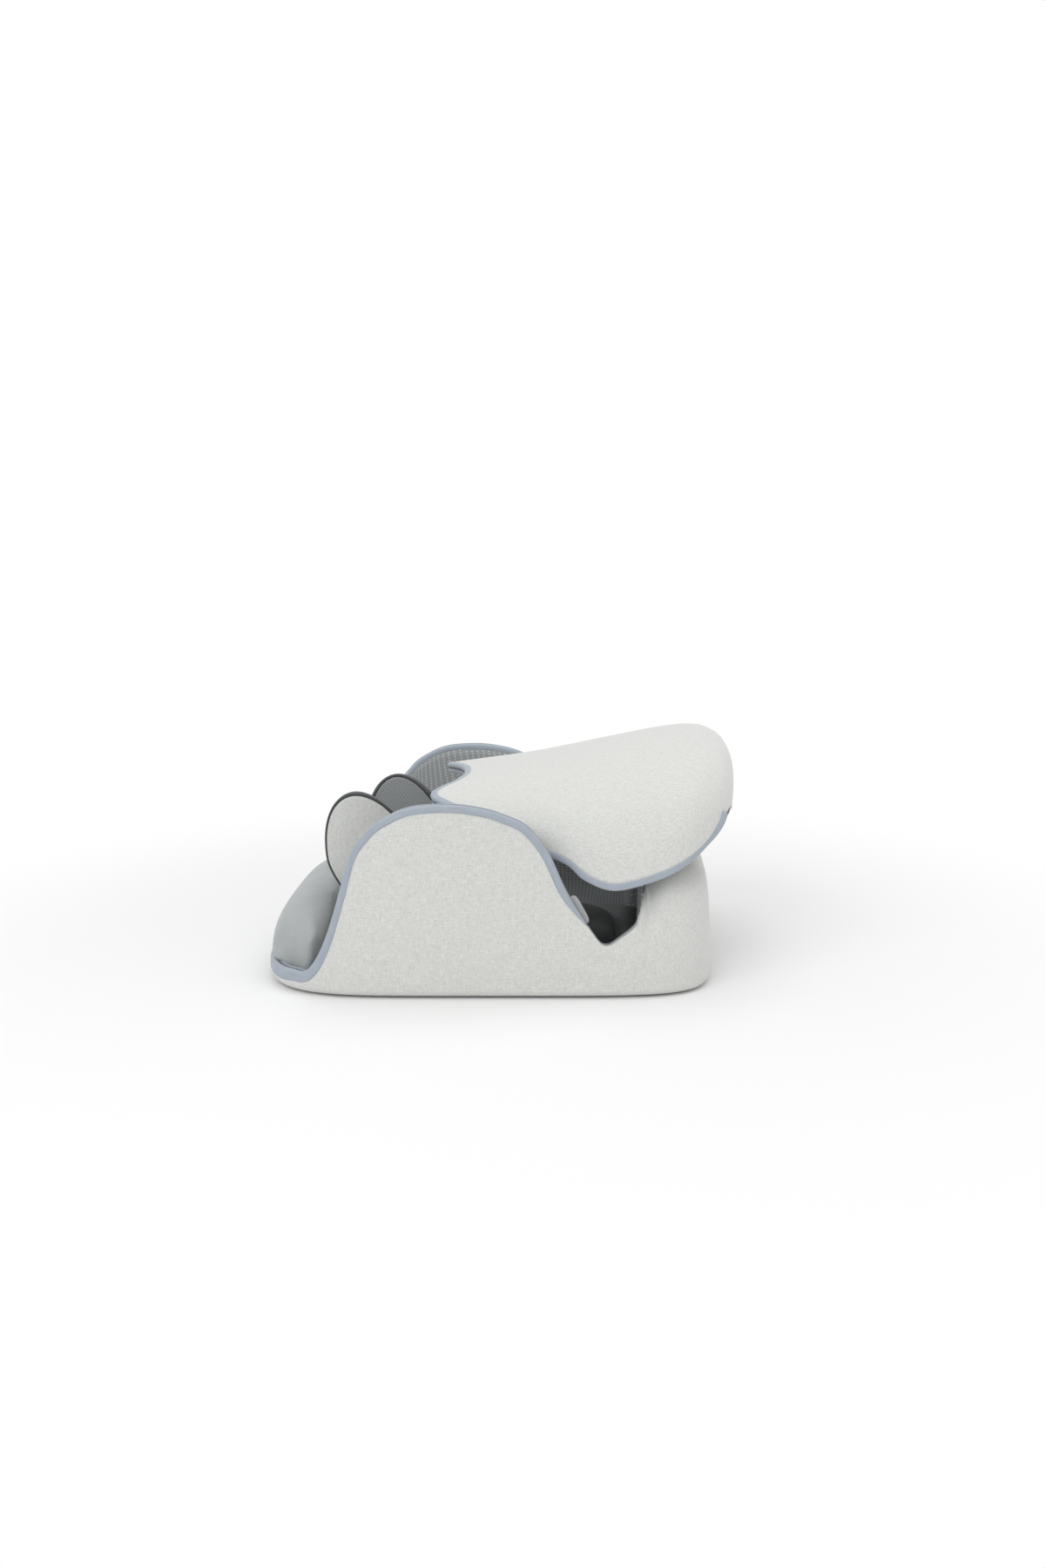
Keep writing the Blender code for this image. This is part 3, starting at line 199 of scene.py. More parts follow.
# %% Node helpers
def node(tree, kind, sockets=None, **settings):
    """Adds one shader node, sets its options, and sets or links its sockets by name."""
    made = tree.nodes.new("ShaderNode" + kind)
    for key, value in settings.items():
        setattr(made, key, value)
    for key, value in (sockets or {}).items():
        if isinstance(value, bpy.types.NodeSocket):
            tree.links.new(value, made.inputs[key])
        else:
            made.inputs[key].default_value = value
    return made


def in_space(tree):
    """Place in the piece's own Object coordinates."""
    return node(tree, "TexCoord").outputs["Object"]


def on_cloth(tree):
    """Place along the cloth, in metres."""
    return node(tree, "UVMap", uv_map="cloth").outputs[0]


def marked(tree):
    """The mark that each point of a piece carries."""
    return node(tree, "Attribute", attribute_name="marks").outputs["Fac"]


def new_finish(name, roughness, **sockets):
    """An empty finish: its material, its tree and its shader."""
    material = bpy.data.materials.new(name)
    material.use_nodes = True
    shader = material.node_tree.nodes["Principled BSDF"]
    shader.inputs["Roughness"].default_value = roughness
    for key, value in sockets.items():
        shader.inputs[key.replace("_", " ")].default_value = value
    return material, material.node_tree, shader


def cloth_noise(tree, place, per_metre, detail=2.0):
    """Noise with its own number of cells per metre along each direction."""
    scaled = node(tree, "Mapping", {"Vector": place, "Scale": per_metre})
    return node(tree, "TexNoise", {"Vector": scaled.outputs[0], "Scale": 1.0, "Detail": detail}).outputs["Fac"]


def mix_colours(tree, share, low, high):
    """Colour from low to high by share."""
    made = node(tree, "Mix", data_type="RGBA")
    tree.links.new(share, made.inputs["Factor"])
    for socket, value in (("A", low), ("B", high)):
        target = [s for s in made.inputs if s.name == socket and s.type == "RGBA"][0]
        if isinstance(value, bpy.types.NodeSocket):
            tree.links.new(value, target)
        else:
            target.default_value = (*value, 1.0)
    return [s for s in made.outputs if s.type == "RGBA"][0]


def paint(tree, shader, share, low, high):
    """Links a mix of two colours to the shader's own colour."""
    tree.links.new(mix_colours(tree, share, low, high), shader.inputs["Base Color"])


def maths(tree, operation, a, b=0.0, clamp=False):
    made = node(tree, "Math", {0: a, 1: b}, operation=operation, use_clamp=clamp)
    return made.outputs[0]


def bump(tree, shader, height, strength, distance):
    made = node(tree, "Bump", {"Height": height, "Strength": strength, "Distance": distance})
    tree.links.new(made.outputs[0], shader.inputs["Normal"])


def ribs(tree, uv, per_metre, axis, distortion=0.0):
    """Sine ribs across one direction of the cloth."""
    scale = per_metre * 2 * math.pi / 20
    made = node(
        tree, "TexWave", {"Vector": uv, "Scale": scale, "Distortion": distortion}, bands_direction=axis
    )
    return made.outputs["Fac"]


# %% [markdown]
# ### Melange cloth
# The outer cloth is a pale warm grey plain weave. Its yarns are spun from mixed fibres, so short darker
# and lighter streaks run along both thread directions, upright and level. Two noises, each stretched along
# one direction of the piece, make the streaks, and a fine one makes the grain. Object coordinates keep
# their size the same on every piece.

# %% Melange cloth finish
MELANGE, tree, shader = new_finish("melange_cloth", 0.9, Sheen_Weight=0.25, Sheen_Roughness=0.5)
place = in_space(tree)
warp = cloth_noise(tree, place, (1700.0, 1700.0, 240.0), 1.0)
weft = cloth_noise(tree, place, (220.0, 1700.0, 1700.0), 1.0)
grain = cloth_noise(tree, place, (2200.0, 2200.0, 2200.0), 1.0)
streaks = maths(tree, "ADD", maths(tree, "MULTIPLY", warp, 0.36), maths(tree, "MULTIPLY", weft, 0.36))
streaks = maths(tree, "ADD", streaks, maths(tree, "MULTIPLY", grain, 0.28))
stretch = node(tree, "MapRange", {"Value": streaks, "From Min": 0.38, "From Max": 0.62}).outputs[0]
cloth_colour = mix_colours(tree, stretch, (0.57, 0.575, 0.55), (0.72, 0.73, 0.705))
tree.links.new(cloth_colour, shader.inputs["Base Color"])
bump(tree, shader, streaks, 0.3, 0.3 * MM)
print("finish:", MELANGE.name)

# %% [markdown]
# ### Edge tape
# The tape is a slate blue twill with fine cross ribs. A mark on each point of the tape says how deep it
# lies in the seam groove, and the groove is painted near black: painted shade, the shadow in the crease.

# %% Edge tape finish
TAPE, tree, shader = new_finish("slate_edge_tape", 0.72, Sheen_Weight=0.2)
uv = on_cloth(tree)
mark = marked(tree)
tone = cloth_noise(tree, uv, (500.0, 90.0, 1.0))
tape_colour = mix_colours(tree, tone, (0.31, 0.355, 0.41), (0.40, 0.445, 0.50))
# The near-black that the groove mark mixes in is painted shade in the seam crease.
paint(tree, shader, mark, tape_colour, (0.035, 0.042, 0.055))
bump(tree, shader, ribs(tree, uv, 1400.0, "DIAGONAL", 0.4), 0.3, 0.15 * MM)
print("finish:", TAPE.name)

# %% [markdown]
# ### Dotted lining and dark mesh
# The tray's lining is a grey knit with small pale dots in a staggered lattice. A Voronoi texture with no
# randomness has its cell centres on a square lattice, and a mapping turned by 45 degrees staggers it.
# The darker lining of the hood and the neck wings is a plain mesh with holes in place of dots.


# %% Lining finishes
def spotted(name, ground, ground_pale, spot, pitch, size, raised):
    """A knit with spots in a staggered lattice, pitch apart; raised is the sign of the spots' height."""
    material, tree, shader = new_finish(name, 0.88, Sheen_Weight=0.15)
    uv = on_cloth(tree)
    turned = node(tree, "Mapping", {"Vector": uv, "Rotation": (0.0, 0.0, math.pi / 4)}).outputs[0]
    lattice = node(
        tree, "TexVoronoi", {"Vector": turned, "Scale": 1 / pitch, "Randomness": 0.0}, voronoi_dimensions="2D"
    )
    edge = size / pitch
    inside = node(
        tree,
        "MapRange",
        {"Value": lattice.outputs["Distance"], "From Min": edge * 1.25, "From Max": edge * 0.75},
    ).outputs[0]
    knit = mix_colours(tree, cloth_noise(tree, uv, (700.0, 700.0, 1.0), 3.0), ground, ground_pale)
    paint(tree, shader, inside, knit, spot)
    height = maths(tree, "MULTIPLY", inside, raised)
    height = maths(tree, "ADD", height, ribs(tree, uv, 900.0, "X", 2.0))
    bump(tree, shader, height, 0.4, 0.2 * MM)
    print("finish:", material.name)
    return material


DOTS = {"pitch": 3.4 * MM, "size": 0.55 * MM, "raised": 1.0}
HOLES = {"pitch": 2.2 * MM, "size": 0.5 * MM, "raised": -1.0}
LINING = spotted("grey_dotted_lining", (0.27, 0.285, 0.29), (0.35, 0.365, 0.37), (0.74, 0.75, 0.75), **DOTS)
MESH = spotted("dark_mesh_lining", (0.105, 0.11, 0.115), (0.15, 0.155, 0.16), (0.03, 0.03, 0.032), **HOLES)
PETAL_MESH = spotted("grey_mesh_lining", (0.27, 0.285, 0.285), (0.36, 0.375, 0.375), (0.16, 0.165, 0.17), **HOLES)

# %% [markdown]
# ## The tray
# In plan the tray is a superellipse: round at the shoulder lip, squarer at the crown. Its rim climbs from
# the lip over the wing, dips into the ear notch and climbs to the crown block. The plan and the rim are
# tables by equal steps along the outline, and every wall point is looked up from them.

# %% Plan outline and rim
DENSE = 1440
STATIONS = np.linspace(0, 1, DENSE + 1)


def plan_outline():
    """Superellipse with one power ahead of its centre and one behind, resampled by equal lengths."""
    angle = np.linspace(0, 2 * math.pi, 40 * DENSE + 1)
    cosine, sine = np.cos(angle), np.sin(angle)
    power = np.where(cosine >= 0, FRONT_POWER, REAR_POWER)
    reach = np.where(cosine >= 0, BASE_FRONT_X - PLAN_CENTRE_X, BASE_REAR_X - PLAN_CENTRE_X)
    x = PLAN_CENTRE_X + reach * np.abs(cosine) ** (2 / power)
    y = -BASE_HALF_WIDTH * np.sign(sine) * np.abs(sine) ** (2 / power)
    length = np.concatenate([[0], np.cumsum(np.hypot(np.diff(x), np.diff(y)))])
    even = np.linspace(0, length[-1], DENSE + 1)
    return np.stack([np.interp(even, length, x), np.interp(even, length, y)], axis=1), length[-1]


def curve_through(knots, x):
    """Cubic curve through knots in order of x, each slope set by its neighbours and the ends level."""
    xs, zs = np.array(knots).T
    slopes = np.gradient(zs, xs)
    slopes[[0, -1]] = 0.0
    x = np.clip(x, xs[0], xs[-1])
    i = np.clip(np.searchsorted(xs, x) - 1, 0, len(xs) - 2)
    span = xs[i + 1] - xs[i]
    t = (x - xs[i]) / span
    start = zs[i] * (1 + 2 * t) * (1 - t) ** 2 + slopes[i] * span * t * (1 - t) ** 2
    return start + zs[i + 1] * t * t * (3 - 2 * t) + slopes[i + 1] * span * t * t * (t - 1)


OUTLINE, PERIMETER = plan_outline()
RIM_KNOTS = [
    (BASE_FRONT_X, LIP_HEIGHT),
    (WING_START_X, LIP_HEIGHT + 0.5 * MM),
    (WING_MID_X - 24 * MM, 0.13 * CREST_HEIGHT),
    (WING_MID_X - 10 * MM, 0.3 * CREST_HEIGHT),
    (WING_MID_X, 0.52 * CREST_HEIGHT),
    (WING_MID_X + 7 * MM, 0.7 * CREST_HEIGHT),
    (WING_MID_X + 20 * MM, 0.85 * CREST_HEIGHT),
    (CREST_X - 36 * MM, 0.95 * CREST_HEIGHT),
    (CREST_X, CREST_HEIGHT),
    (CREST_X + 20 * MM, 0.99 * CREST_HEIGHT),
    (CREST_X + 44 * MM, 0.945 * CREST_HEIGHT),
    (NOTCH_X - 52 * MM, 0.87 * CREST_HEIGHT),
    (NOTCH_X - 39 * MM, 0.745 * CREST_HEIGHT),
    (NOTCH_X - 27 * MM, 0.56 * CREST_HEIGHT),
    (NOTCH_X - 14 * MM, NOTCH_HEIGHT + 19 * MM),
    (NOTCH_X, NOTCH_HEIGHT),
    (NOTCH_X + 13 * MM, NOTCH_HEIGHT + 5.5 * MM),
    (BLOCK_X - 15 * MM, 0.61 * BLOCK_HEIGHT),
    (BLOCK_X - 6 * MM, 0.74 * BLOCK_HEIGHT),
    (BLOCK_X + 1 * MM, 0.876 * BLOCK_HEIGHT),
    (BLOCK_X + 9 * MM, 0.97 * BLOCK_HEIGHT),
    (BLOCK_X + 20 * MM, BLOCK_HEIGHT),
    (BASE_REAR_X, BLOCK_HEIGHT),
]
RIM = curve_through(RIM_KNOTS, OUTLINE[:, 0])
TAPED = 1 - smooth(NOTCH_X - 28 * MM, NOTCH_X - 6 * MM, OUTLINE[:, 0])
print("outline length:", round(PERIMETER, 4), "rim from", round(RIM.min(), 4), "to", round(RIM.max(), 4))


# %% [markdown]
# The walls lean along one horizontal direction, inwards from the outline. At a corner that direction has
# to fan out smoothly, so the outline's normals are averaged over a length. A sheet is cut short of the rim
# by the tape's width, measured along the wall laid flat.


# %% Directions and cut edges
def averaged_normals():
    """Inward normals of the outline, each the mean of those within half of CORNER_TURN either way."""
    ring = OUTLINE[:-1]
    tangent = np.roll(ring, -1, axis=0) - np.roll(ring, 1, axis=0)
    normal = unit(np.stack([-tangent[:, 1], tangent[:, 0]], axis=1))
    reach = round(CORNER_TURN / PERIMETER * DENSE / 2)
    tiled = np.concatenate([normal[-reach:], normal, normal[:reach]])
    window = np.ones(2 * reach + 1)
    mean = unit(np.stack([np.convolve(tiled[:, k], window, "valid") for k in (0, 1)], axis=1))
    return np.concatenate([mean, mean[:1]])


def cut_edge(clearance):
    """Height of a sheet's cut edge: the rim moved in, on the flattened wall, by the tape and a clearance."""
    along = STATIONS * PERIMETER
    slope = np.gradient(RIM, along)
    length = np.sqrt(1 + slope**2)
    width = (BINDING_WIDTH + clearance) * TAPED
    moved = along + width * slope / length
    order = np.argsort(moved)
    return np.interp(along, moved[order], (RIM - width / length)[order])


def at(table, u):
    """Value of a table at shares u round the outline, for one column or several."""
    u = np.where(np.asarray(u) == 1.0, 1.0, np.mod(u, 1.0))
    if table.ndim == 1:
        return np.interp(u, STATIONS, table)
    return np.stack([np.interp(u, STATIONS, table[:, k]) for k in range(table.shape[1])], axis=-1)


INWARD = averaged_normals()
SHELL_EDGE = LINER_EDGE = cut_edge(EDGE_TUCK)


def inward(u):
    return unit(at(INWARD, u))


def slant(u):
    """Length along the inward direction that spans a unit square to the outline."""
    tangent = unit(at(OUTLINE, u + 0.002) - at(OUTLINE, u - 0.002))
    normal = np.stack([-tangent[..., 1], tangent[..., 0]], axis=-1)
    return 1 / np.maximum(0.5, np.abs(np.sum(normal * inward(u), axis=-1)))


def rim_steps(count):
    """Shares of the outline by equal steps along the climbing rim, the same on both sides."""
    half = DENSE // 2 + 1
    along = STATIONS[:half] * PERIMETER
    length = np.concatenate([[0], np.cumsum(np.hypot(np.diff(along), np.diff(RIM[:half])))])
    even = np.interp(np.linspace(0, length[-1], count // 2 + 1), length, STATIONS[:half])
    return np.concatenate([even, 1 - even[-2::-1]])


def wing_inset(z):
    return -WING_FLARE * (np.maximum(z, 0) / CREST_HEIGHT) ** 2


def wall(u, w, rim):
    """Outer skin at share w of the wall. The wing is a straight climb with a flare; the crown block is a
    wall, a round shoulder and a shelf, all leaning in; the two are mixed behind the ear notch."""
    start, step = at(OUTLINE, u), inward(u)
    rear = smooth(BLEND_START_X, BLEND_END_X, start[..., 0])
    round_off = np.minimum(BOTTOM_RADIUS, 0.55 * (rim - FLOOR_Z))
    low = FLOOR_Z + round_off
    wing_z = low + (rim - low) * w
    high = np.maximum(rim, low + SHOULDER_RADIUS + 4 * MM)
    straight = high - SHOULDER_RADIUS
    turn = np.clip((w - SHOULDER_START) / (SHELF_START - SHOULDER_START), 0, 1) * math.pi / 2
    shelf = np.clip((w - SHELF_START) / (1 - SHELF_START), 0, 1)
    climb = low + (straight - low) * np.minimum(w / SHOULDER_START, 1)
    block_z = climb + SHOULDER_RADIUS * np.sin(turn)
    curl = SHOULDER_RADIUS * (1 - np.cos(turn)) + (SHELF_DEPTH - SHOULDER_RADIUS) * shelf
    lean = BLOCK_LEAN * np.maximum(0, (block_z - LEAN_START) / (BLOCK_HEIGHT - LEAN_START)) ** 1.5
    z = (1 - rear) * wing_z + rear * np.minimum(block_z, rim)
    side = np.maximum(0, (z - SIDE_LEAN_START) / (BLOCK_HEIGHT - SIDE_LEAN_START)) ** 1.3
    side = np.abs(step[..., 1]) * SIDE_LEAN * side
    inset = (1 - rear) * wing_inset(wing_z) + rear * (curl + (lean + side) * (1 - shelf))
    plan = start + step * inset[..., None]
    return np.concatenate([plan, z[..., None]], axis=-1), step, round_off


print("tray sizes: shell", round(SHELL_EDGE.max(), 4), "liner", round(LINER_EDGE.max(), 4))

# %% [markdown]
# ### Outer cover
# On the real tray the cover is cloth over a foam wall, pulled under the bottom edge. Rows run from the
# middle of the bottom out to its edge, round a small radius and up the wall. The rear wall has a window
# for the control insert, cut after the sheet has its thickness.


# %% Outer cover
def floor_rows(ring, middle, count):
    """Rows of a flat floor from its middle point out to a ring."""
    share = np.linspace(0, 1, count, endpoint=False)[:, None, None]
    return middle + (ring - middle) * share


def cover_points(columns, rows):
    u = rim_steps(columns)[None, :]
    edge = at(SHELL_EDGE, u)
    w = np.linspace(0, 1, rows)[:, None]
    skin, _, _ = wall(u + 0 * w, w + 0 * u, edge + 0 * w)
    foot, step, round_off = wall(u, 0 * u, edge)
    turn = np.linspace(0, math.pi / 2, 8, endpoint=False)[:, None]
    inset = round_off * (1 - np.sin(turn))
    bend = foot + np.concatenate([step * inset[..., None], -(round_off * np.cos(turn))[..., None]], axis=-1)
    middle = np.array([PLAN_CENTRE_X, 0.0, FLOOR_Z])
    return np.concatenate([floor_rows(bend[:1], middle, 8), bend, skin])


def cut_window(piece, low, high):
    """Cuts a box out of a piece and keeps the result as its mesh."""
    bm = bmesh.new()
    bmesh.ops.create_cube(bm, size=1.0)
    corners = np.array([v.co for v in bm.verts])
    places = (np.array(low) + np.array(high)) / 2 + corners * (np.array(high) - np.array(low))
    block = bpy.data.meshes.new("window_block")
    bm.to_mesh(block)
    bm.free()
    block.vertices.foreach_set("co", places.reshape(-1))
    cutter = bpy.data.objects.new("window_block", block)
    bpy.context.scene.collection.objects.link(cutter)
    boolean = piece.modifiers.new("window", "BOOLEAN")
    boolean.operation = "DIFFERENCE"
    boolean.object = cutter
    result = bpy.data.meshes.new_from_object(piece.evaluated_get(bpy.context.evaluated_depsgraph_get()))
    piece.modifiers.clear()
    piece.data = result
    bpy.data.objects.remove(cutter)


TRAY_MIDDLE = (0.0, 0.0, 60 * MM)
cover = thicken(lay_grid("base_cover", cover_points(420, 44), TRAY_MIDDLE), SHELL_WALL)
panel_low, panel_high = (np.array(corner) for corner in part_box("control_panel"))
margin = np.array([8 * MM, GAP, GAP])
cut_window(cover, panel_low - margin, panel_high + margin)
dress(cover, MELANGE, "base", ["base_shell"])


# %% [markdown]
# ### Lining
# The lining is a bowl: a flat floor and a quarter-ellipse wall that meets the cover at the rim. Its
# outer face is the formula, and its thickness grows into the bowl.


# %% Lining of the tray
def lining_points(columns, rows):
    """Quarter ellipse from the floor's edge to the cut edge: the height by 1 - cos, the inset by 1 - sin."""
    u = rim_steps(columns)[None, :]
    start, step, edge = at(OUTLINE, u), inward(u), at(LINER_EDGE, u)
    x = start[..., 0]
    distance = BOWL_FRONT_INSET + (BOWL_SIDE_INSET - BOWL_FRONT_INSET) * smooth(-150 * MM, -90 * MM, x)
    distance = distance + (BOWL_REAR_INSET - BOWL_SIDE_INSET) * smooth(90 * MM, 140 * MM, x)
    rear = smooth(BLEND_START_X, BLEND_END_X, x)
    turn = np.linspace(0, math.pi / 2, rows)[:, None]
    z = BOWL_FLOOR_Z + (edge - BOWL_FLOOR_Z) * (1 - np.cos(turn))
    at_wing = wing_inset(z) + (SHELL_WALL + GAP) * slant(u)
    at_rim = (1 - rear) * at_wing + rear * (SHELF_DEPTH + 4 * GAP + 4 * BLEND_CLEARANCE * (1 - rear))
    inset = at_rim + (distance - at_rim) * (1 - np.sin(turn))
    bowl = np.concatenate([start + step * inset[..., None], z[..., None]], axis=-1)
    middle = np.array([PLAN_CENTRE_X, 0.0, BOWL_FLOOR_Z])
    return np.concatenate([floor_rows(bowl[:1], middle, 8), bowl])


lining = thicken(lay_grid("base_lining", lining_points(420, 40), TRAY_MIDDLE), LINER_WALL)
dress(lining, LINING, "base", ["base_liner"])


# %% [markdown]
# ### Edge tape
# The tape folds over the raw edges of cover and lining. Carried along the rim, its section is a rounded
# band with a groove on top, where the two halves of the fold meet; the groove is marked for the finish,
# which paints shade into it.


# %% Tape along the tray's rim
def tape_points(middle, down, through, half_wide, half_thick, around=44):
    """Rounded band: a superellipse in the axes down and through, with a dent where it faces up."""
    turn = np.linspace(0, 2 * math.pi, around + 1)[None, :]
    dent = np.exp(-(((turn - math.pi) / 0.16) ** 2))
    across = rounded(np.cos(turn), 0.6) * (1 - 0.2 * dent)
    depth = rounded(np.sin(turn), 0.6)
    band = middle[:, None] + down[:, None] * (half_wide[:, None] * across)[..., None]
    band = band + through[:, None] * (half_thick * depth)[..., None]
    # The marks give the groove's depth, where the tape finish paints shade.
    marks = np.pad(np.repeat(dent**2, len(band), axis=0), ((1, 1), (0, 0)))
    return close_ends(band), marks


def rim_point(u):
    return wall(u, np.ones_like(u), at(RIM, u))[0]


def rim_tape(count):
    bound = rim_steps(2 * count)[: count + 1]
    bound = bound[at(TAPED, bound) >= 0.15]
    u = np.concatenate([-bound[:0:-1], bound])
    along = unit(rim_point(u + 0.002) - rim_point(u - 0.002))
    step = np.concatenate([inward(u), np.zeros((len(u), 1))], axis=1)
    down = unit(np.cross(along, step))
    down = np.where(down[:, 2:] > 0, -down, down)
    through = unit(np.cross(down, along))
    lip = 1 - smooth(WING_START_X - 14 * MM, WING_MID_X, at(OUTLINE, u)[:, 0])
    half = BINDING_WIDTH * at(TAPED, u) * (1 + LIP_TAPE * lip) / 2
    middle = rim_point(u) + down * half[:, None] + step * (SANDWICH / 2 * slant(u))[:, None]
    return tape_points(middle, down, through, half, SANDWICH / 2 + BINDING_PROUD)


points, marks = rim_tape(420)
dress(lay_grid("base_edge_tape", points, marks=marks), TAPE, "base", ["base_binding"])

# %% [markdown]
# ## The hood
# The hood is one padded sheet that folds over the crown. Its middle follows a spine, its two lower edges
# follow a side curve, and each cross-section between them is a superellipse arch. At the front, two prongs
# stand forward beside the nose notch.

# %% Hood surface
HOOD_NOTCH_X, HOOD_NOTCH_Z, HOOD_CROWN_X, HOOD_CROWN_Z = -31 * MM, 138 * MM, 148 * MM, 174 * MM
HOOD_REAR_X, HOOD_REAR_EDGE_X, HOOD_REAR_EDGE_Z = 181 * MM, 179 * MM, 124 * MM
HOOD_HALF_WIDTH, HOOD_SPREAD, HOOD_REAR_HALF_WIDTH = 114 * MM, 13 * MM, 90 * MM
HOOD_FRONT_CORNER_X, HOOD_FRONT_CORNER_Z = -6 * MM, 106 * MM
HOOD_SIDE_LOW_X, HOOD_SIDE_LOW_Z = 87 * MM, 76 * MM
HOOD_REAR_CORNER_X, HOOD_REAR_CORNER_Z = 170 * MM, 128 * MM
HOOD_ARCH_POWER, PRONG_LENGTH, PRONG_SHARE = 2.4, 24 * MM, 0.36
HOOD_TAPE_END, HOOD_TAPE_HOLD, HOOD_TAPE_LIFT, LINING_END = 0.985, 0.84, 4 * MM, 0.95


def smooth_path(knots, steps=40):
    """Catmull-Rom curve through knots: each stretch a cubic whose slopes come from the knots either side."""
    knots = np.array(knots)
    ends = np.concatenate([[2 * knots[0] - knots[1]], knots, [2 * knots[-1] - knots[-2]]])
    a, b, c, d = (ends[k : len(ends) - 3 + k, None] for k in range(4))
    t = np.linspace(0, 1, steps, endpoint=False)[None, :, None]
    path = 0.5 * (2 * b + (c - a) * t + (2 * a - 5 * b + 4 * c - d) * t**2 + (3 * b - a - 3 * c + d) * t**3)
    return np.concatenate([path.reshape(-1, knots.shape[1]), knots[-1:]])


def along_path(path, share):
    """Points at shares of a path's length."""
    length = np.concatenate([[0], np.cumsum(np.linalg.norm(np.diff(path, axis=0), axis=1))])
    return np.stack([np.interp(share * length[-1], length, path[:, k]) for k in range(path.shape[1])], axis=-1)


SPINE = smooth_path(
    [
        (HOOD_NOTCH_X, HOOD_NOTCH_Z),
        (0.62 * HOOD_CROWN_X, HOOD_CROWN_Z - 9 * MM),
        (HOOD_CROWN_X, HOOD_CROWN_Z),
        (HOOD_REAR_X - 11 * MM, HOOD_CROWN_Z - 5 * MM),
        (HOOD_REAR_X - 2 * MM, HOOD_CROWN_Z - 16 * MM),
        (HOOD_REAR_X, HOOD_CROWN_Z - 30 * MM),
        (HOOD_REAR_EDGE_X, HOOD_REAR_EDGE_Z),
    ]
)
SIDE_EDGE = smooth_path(
    [
        (HOOD_FRONT_CORNER_X, HOOD_FRONT_CORNER_Z),
        (HOOD_SIDE_LOW_X - 41 * MM, HOOD_SIDE_LOW_Z + 19 * MM),
        (HOOD_SIDE_LOW_X - 22 * MM, HOOD_SIDE_LOW_Z + 6.5 * MM),
        (HOOD_SIDE_LOW_X, HOOD_SIDE_LOW_Z),
        (HOOD_SIDE_LOW_X + 28 * MM, HOOD_SIDE_LOW_Z + 6.5 * MM),
        (HOOD_SIDE_LOW_X + 53 * MM, HOOD_SIDE_LOW_Z + 16.5 * MM),
        (HOOD_REAR_CORNER_X - 11 * MM, HOOD_REAR_CORNER_Z - 21 * MM),
        (HOOD_REAR_CORNER_X, HOOD_REAR_CORNER_Z),
    ]
)


def hood(p, q):
    """Skin at share p from front to rear and q from the -Y to the +Y edge: y by sin and z by cos of a
    quarter turn, each to the power 2 / HOOD_ARCH_POWER, between the edge and the spine."""
    p, q = np.broadcast_arrays(p, q)
    spine, edge = along_path(SPINE, p), along_path(SIDE_EDGE, p)
    turn = np.abs(q) * math.pi / 2
    out = np.sin(turn) ** (2 / HOOD_ARCH_POWER)
    up = np.maximum(np.cos(turn), 0) ** (2 / HOOD_ARCH_POWER)
    wide = HOOD_HALF_WIDTH + HOOD_SPREAD * smooth(0.15, 0.5, p)
    half = wide + (HOOD_REAR_HALF_WIDTH - wide) * smooth(0.62, 1.0, p) ** 1.2
    prong = PRONG_LENGTH * np.exp(-(((np.abs(q) - PRONG_SHARE) / 0.2) ** 2)) * (1 - smooth(0.0, 0.3, p))
    x = spine[..., 0] + (edge[..., 0] - spine[..., 0]) * q * q - prong
    z = edge[..., 1] + (spine[..., 1] - edge[..., 1]) * up
    return np.stack([x, np.sign(q) * half * out, z], axis=-1)


def hood_normal(p, q, step=1e-3):
    """Outward normal from the differences along p and q."""
    along = hood(np.minimum(p + step, 1), q) - hood(np.maximum(p - step, 0), q)
    across = hood(p, np.minimum(q + step, 1)) - hood(p, np.maximum(q - step, -1))
    return unit(np.cross(along, across))


def square_to(step, edge):
    """Length of a step square to an edge direction."""
    edge = unit(edge)
    return np.linalg.norm(step - edge * np.sum(step * edge, axis=-1, keepdims=True), axis=-1)


def front_share(q, width):
    """Share of p that spans a width square to the front edge."""
    edge = hood(0 * q, np.minimum(q + 0.02, 1)) - hood(0 * q, np.maximum(q - 0.02, -1))
    return 0.02 * width / square_to(hood(0 * q + 0.02, q) - hood(0 * q, q), edge)


def side_share(p, width):
    """Share of q that spans a width square to a side edge."""
    edge = hood(np.minimum(p + 0.02, 1), 1.0) - hood(np.maximum(p - 0.02, 0), 1.0)
    return 0.03 * width / square_to(hood(p, 1.0) - hood(p, 0.97), edge)


def hood_layer(depth, rows, columns, end=1.0):
    """One layer of the hood, cut back from its taped edges, at a depth under the skin, as far as share end."""
    u = np.linspace(0, end, rows)[:, None]
    v = np.linspace(-1, 1, columns)[None, :]
    width = BINDING_WIDTH + EDGE_TUCK
    q = v * (1 - side_share(u, width))
    trimmed = front_share(q, width)
    p = trimmed + (1 - trimmed) * u
    return hood(p, q) - hood_normal(p, q) * depth


HOOD_MIDDLE = (80 * MM, 0.0, 90 * MM)
hood_cover = thicken(lay_grid("hood_cover", hood_layer(0.0, 120, 140), HOOD_MIDDLE), SHELL_WALL)
dress(hood_cover, MELANGE, "hood", ["hood_shell"])
hood_lining = hood_layer(SHELL_WALL + GAP, 100, 120, LINING_END)
hood_lining = thicken(lay_grid("hood_lining", hood_lining, HOOD_MIDDLE), LINER_WALL)
dress(hood_lining, MESH, "hood", ["hood_liner"])


# %% [markdown]
# The hood's tape is the same band as the tray's. Its route runs up one side edge, round the prongs and the
# nose notch, and down the other side. Towards each rear corner, where the edge turns up sharply, the band
# keeps the direction that it has a little before, so that it doesn't twist.


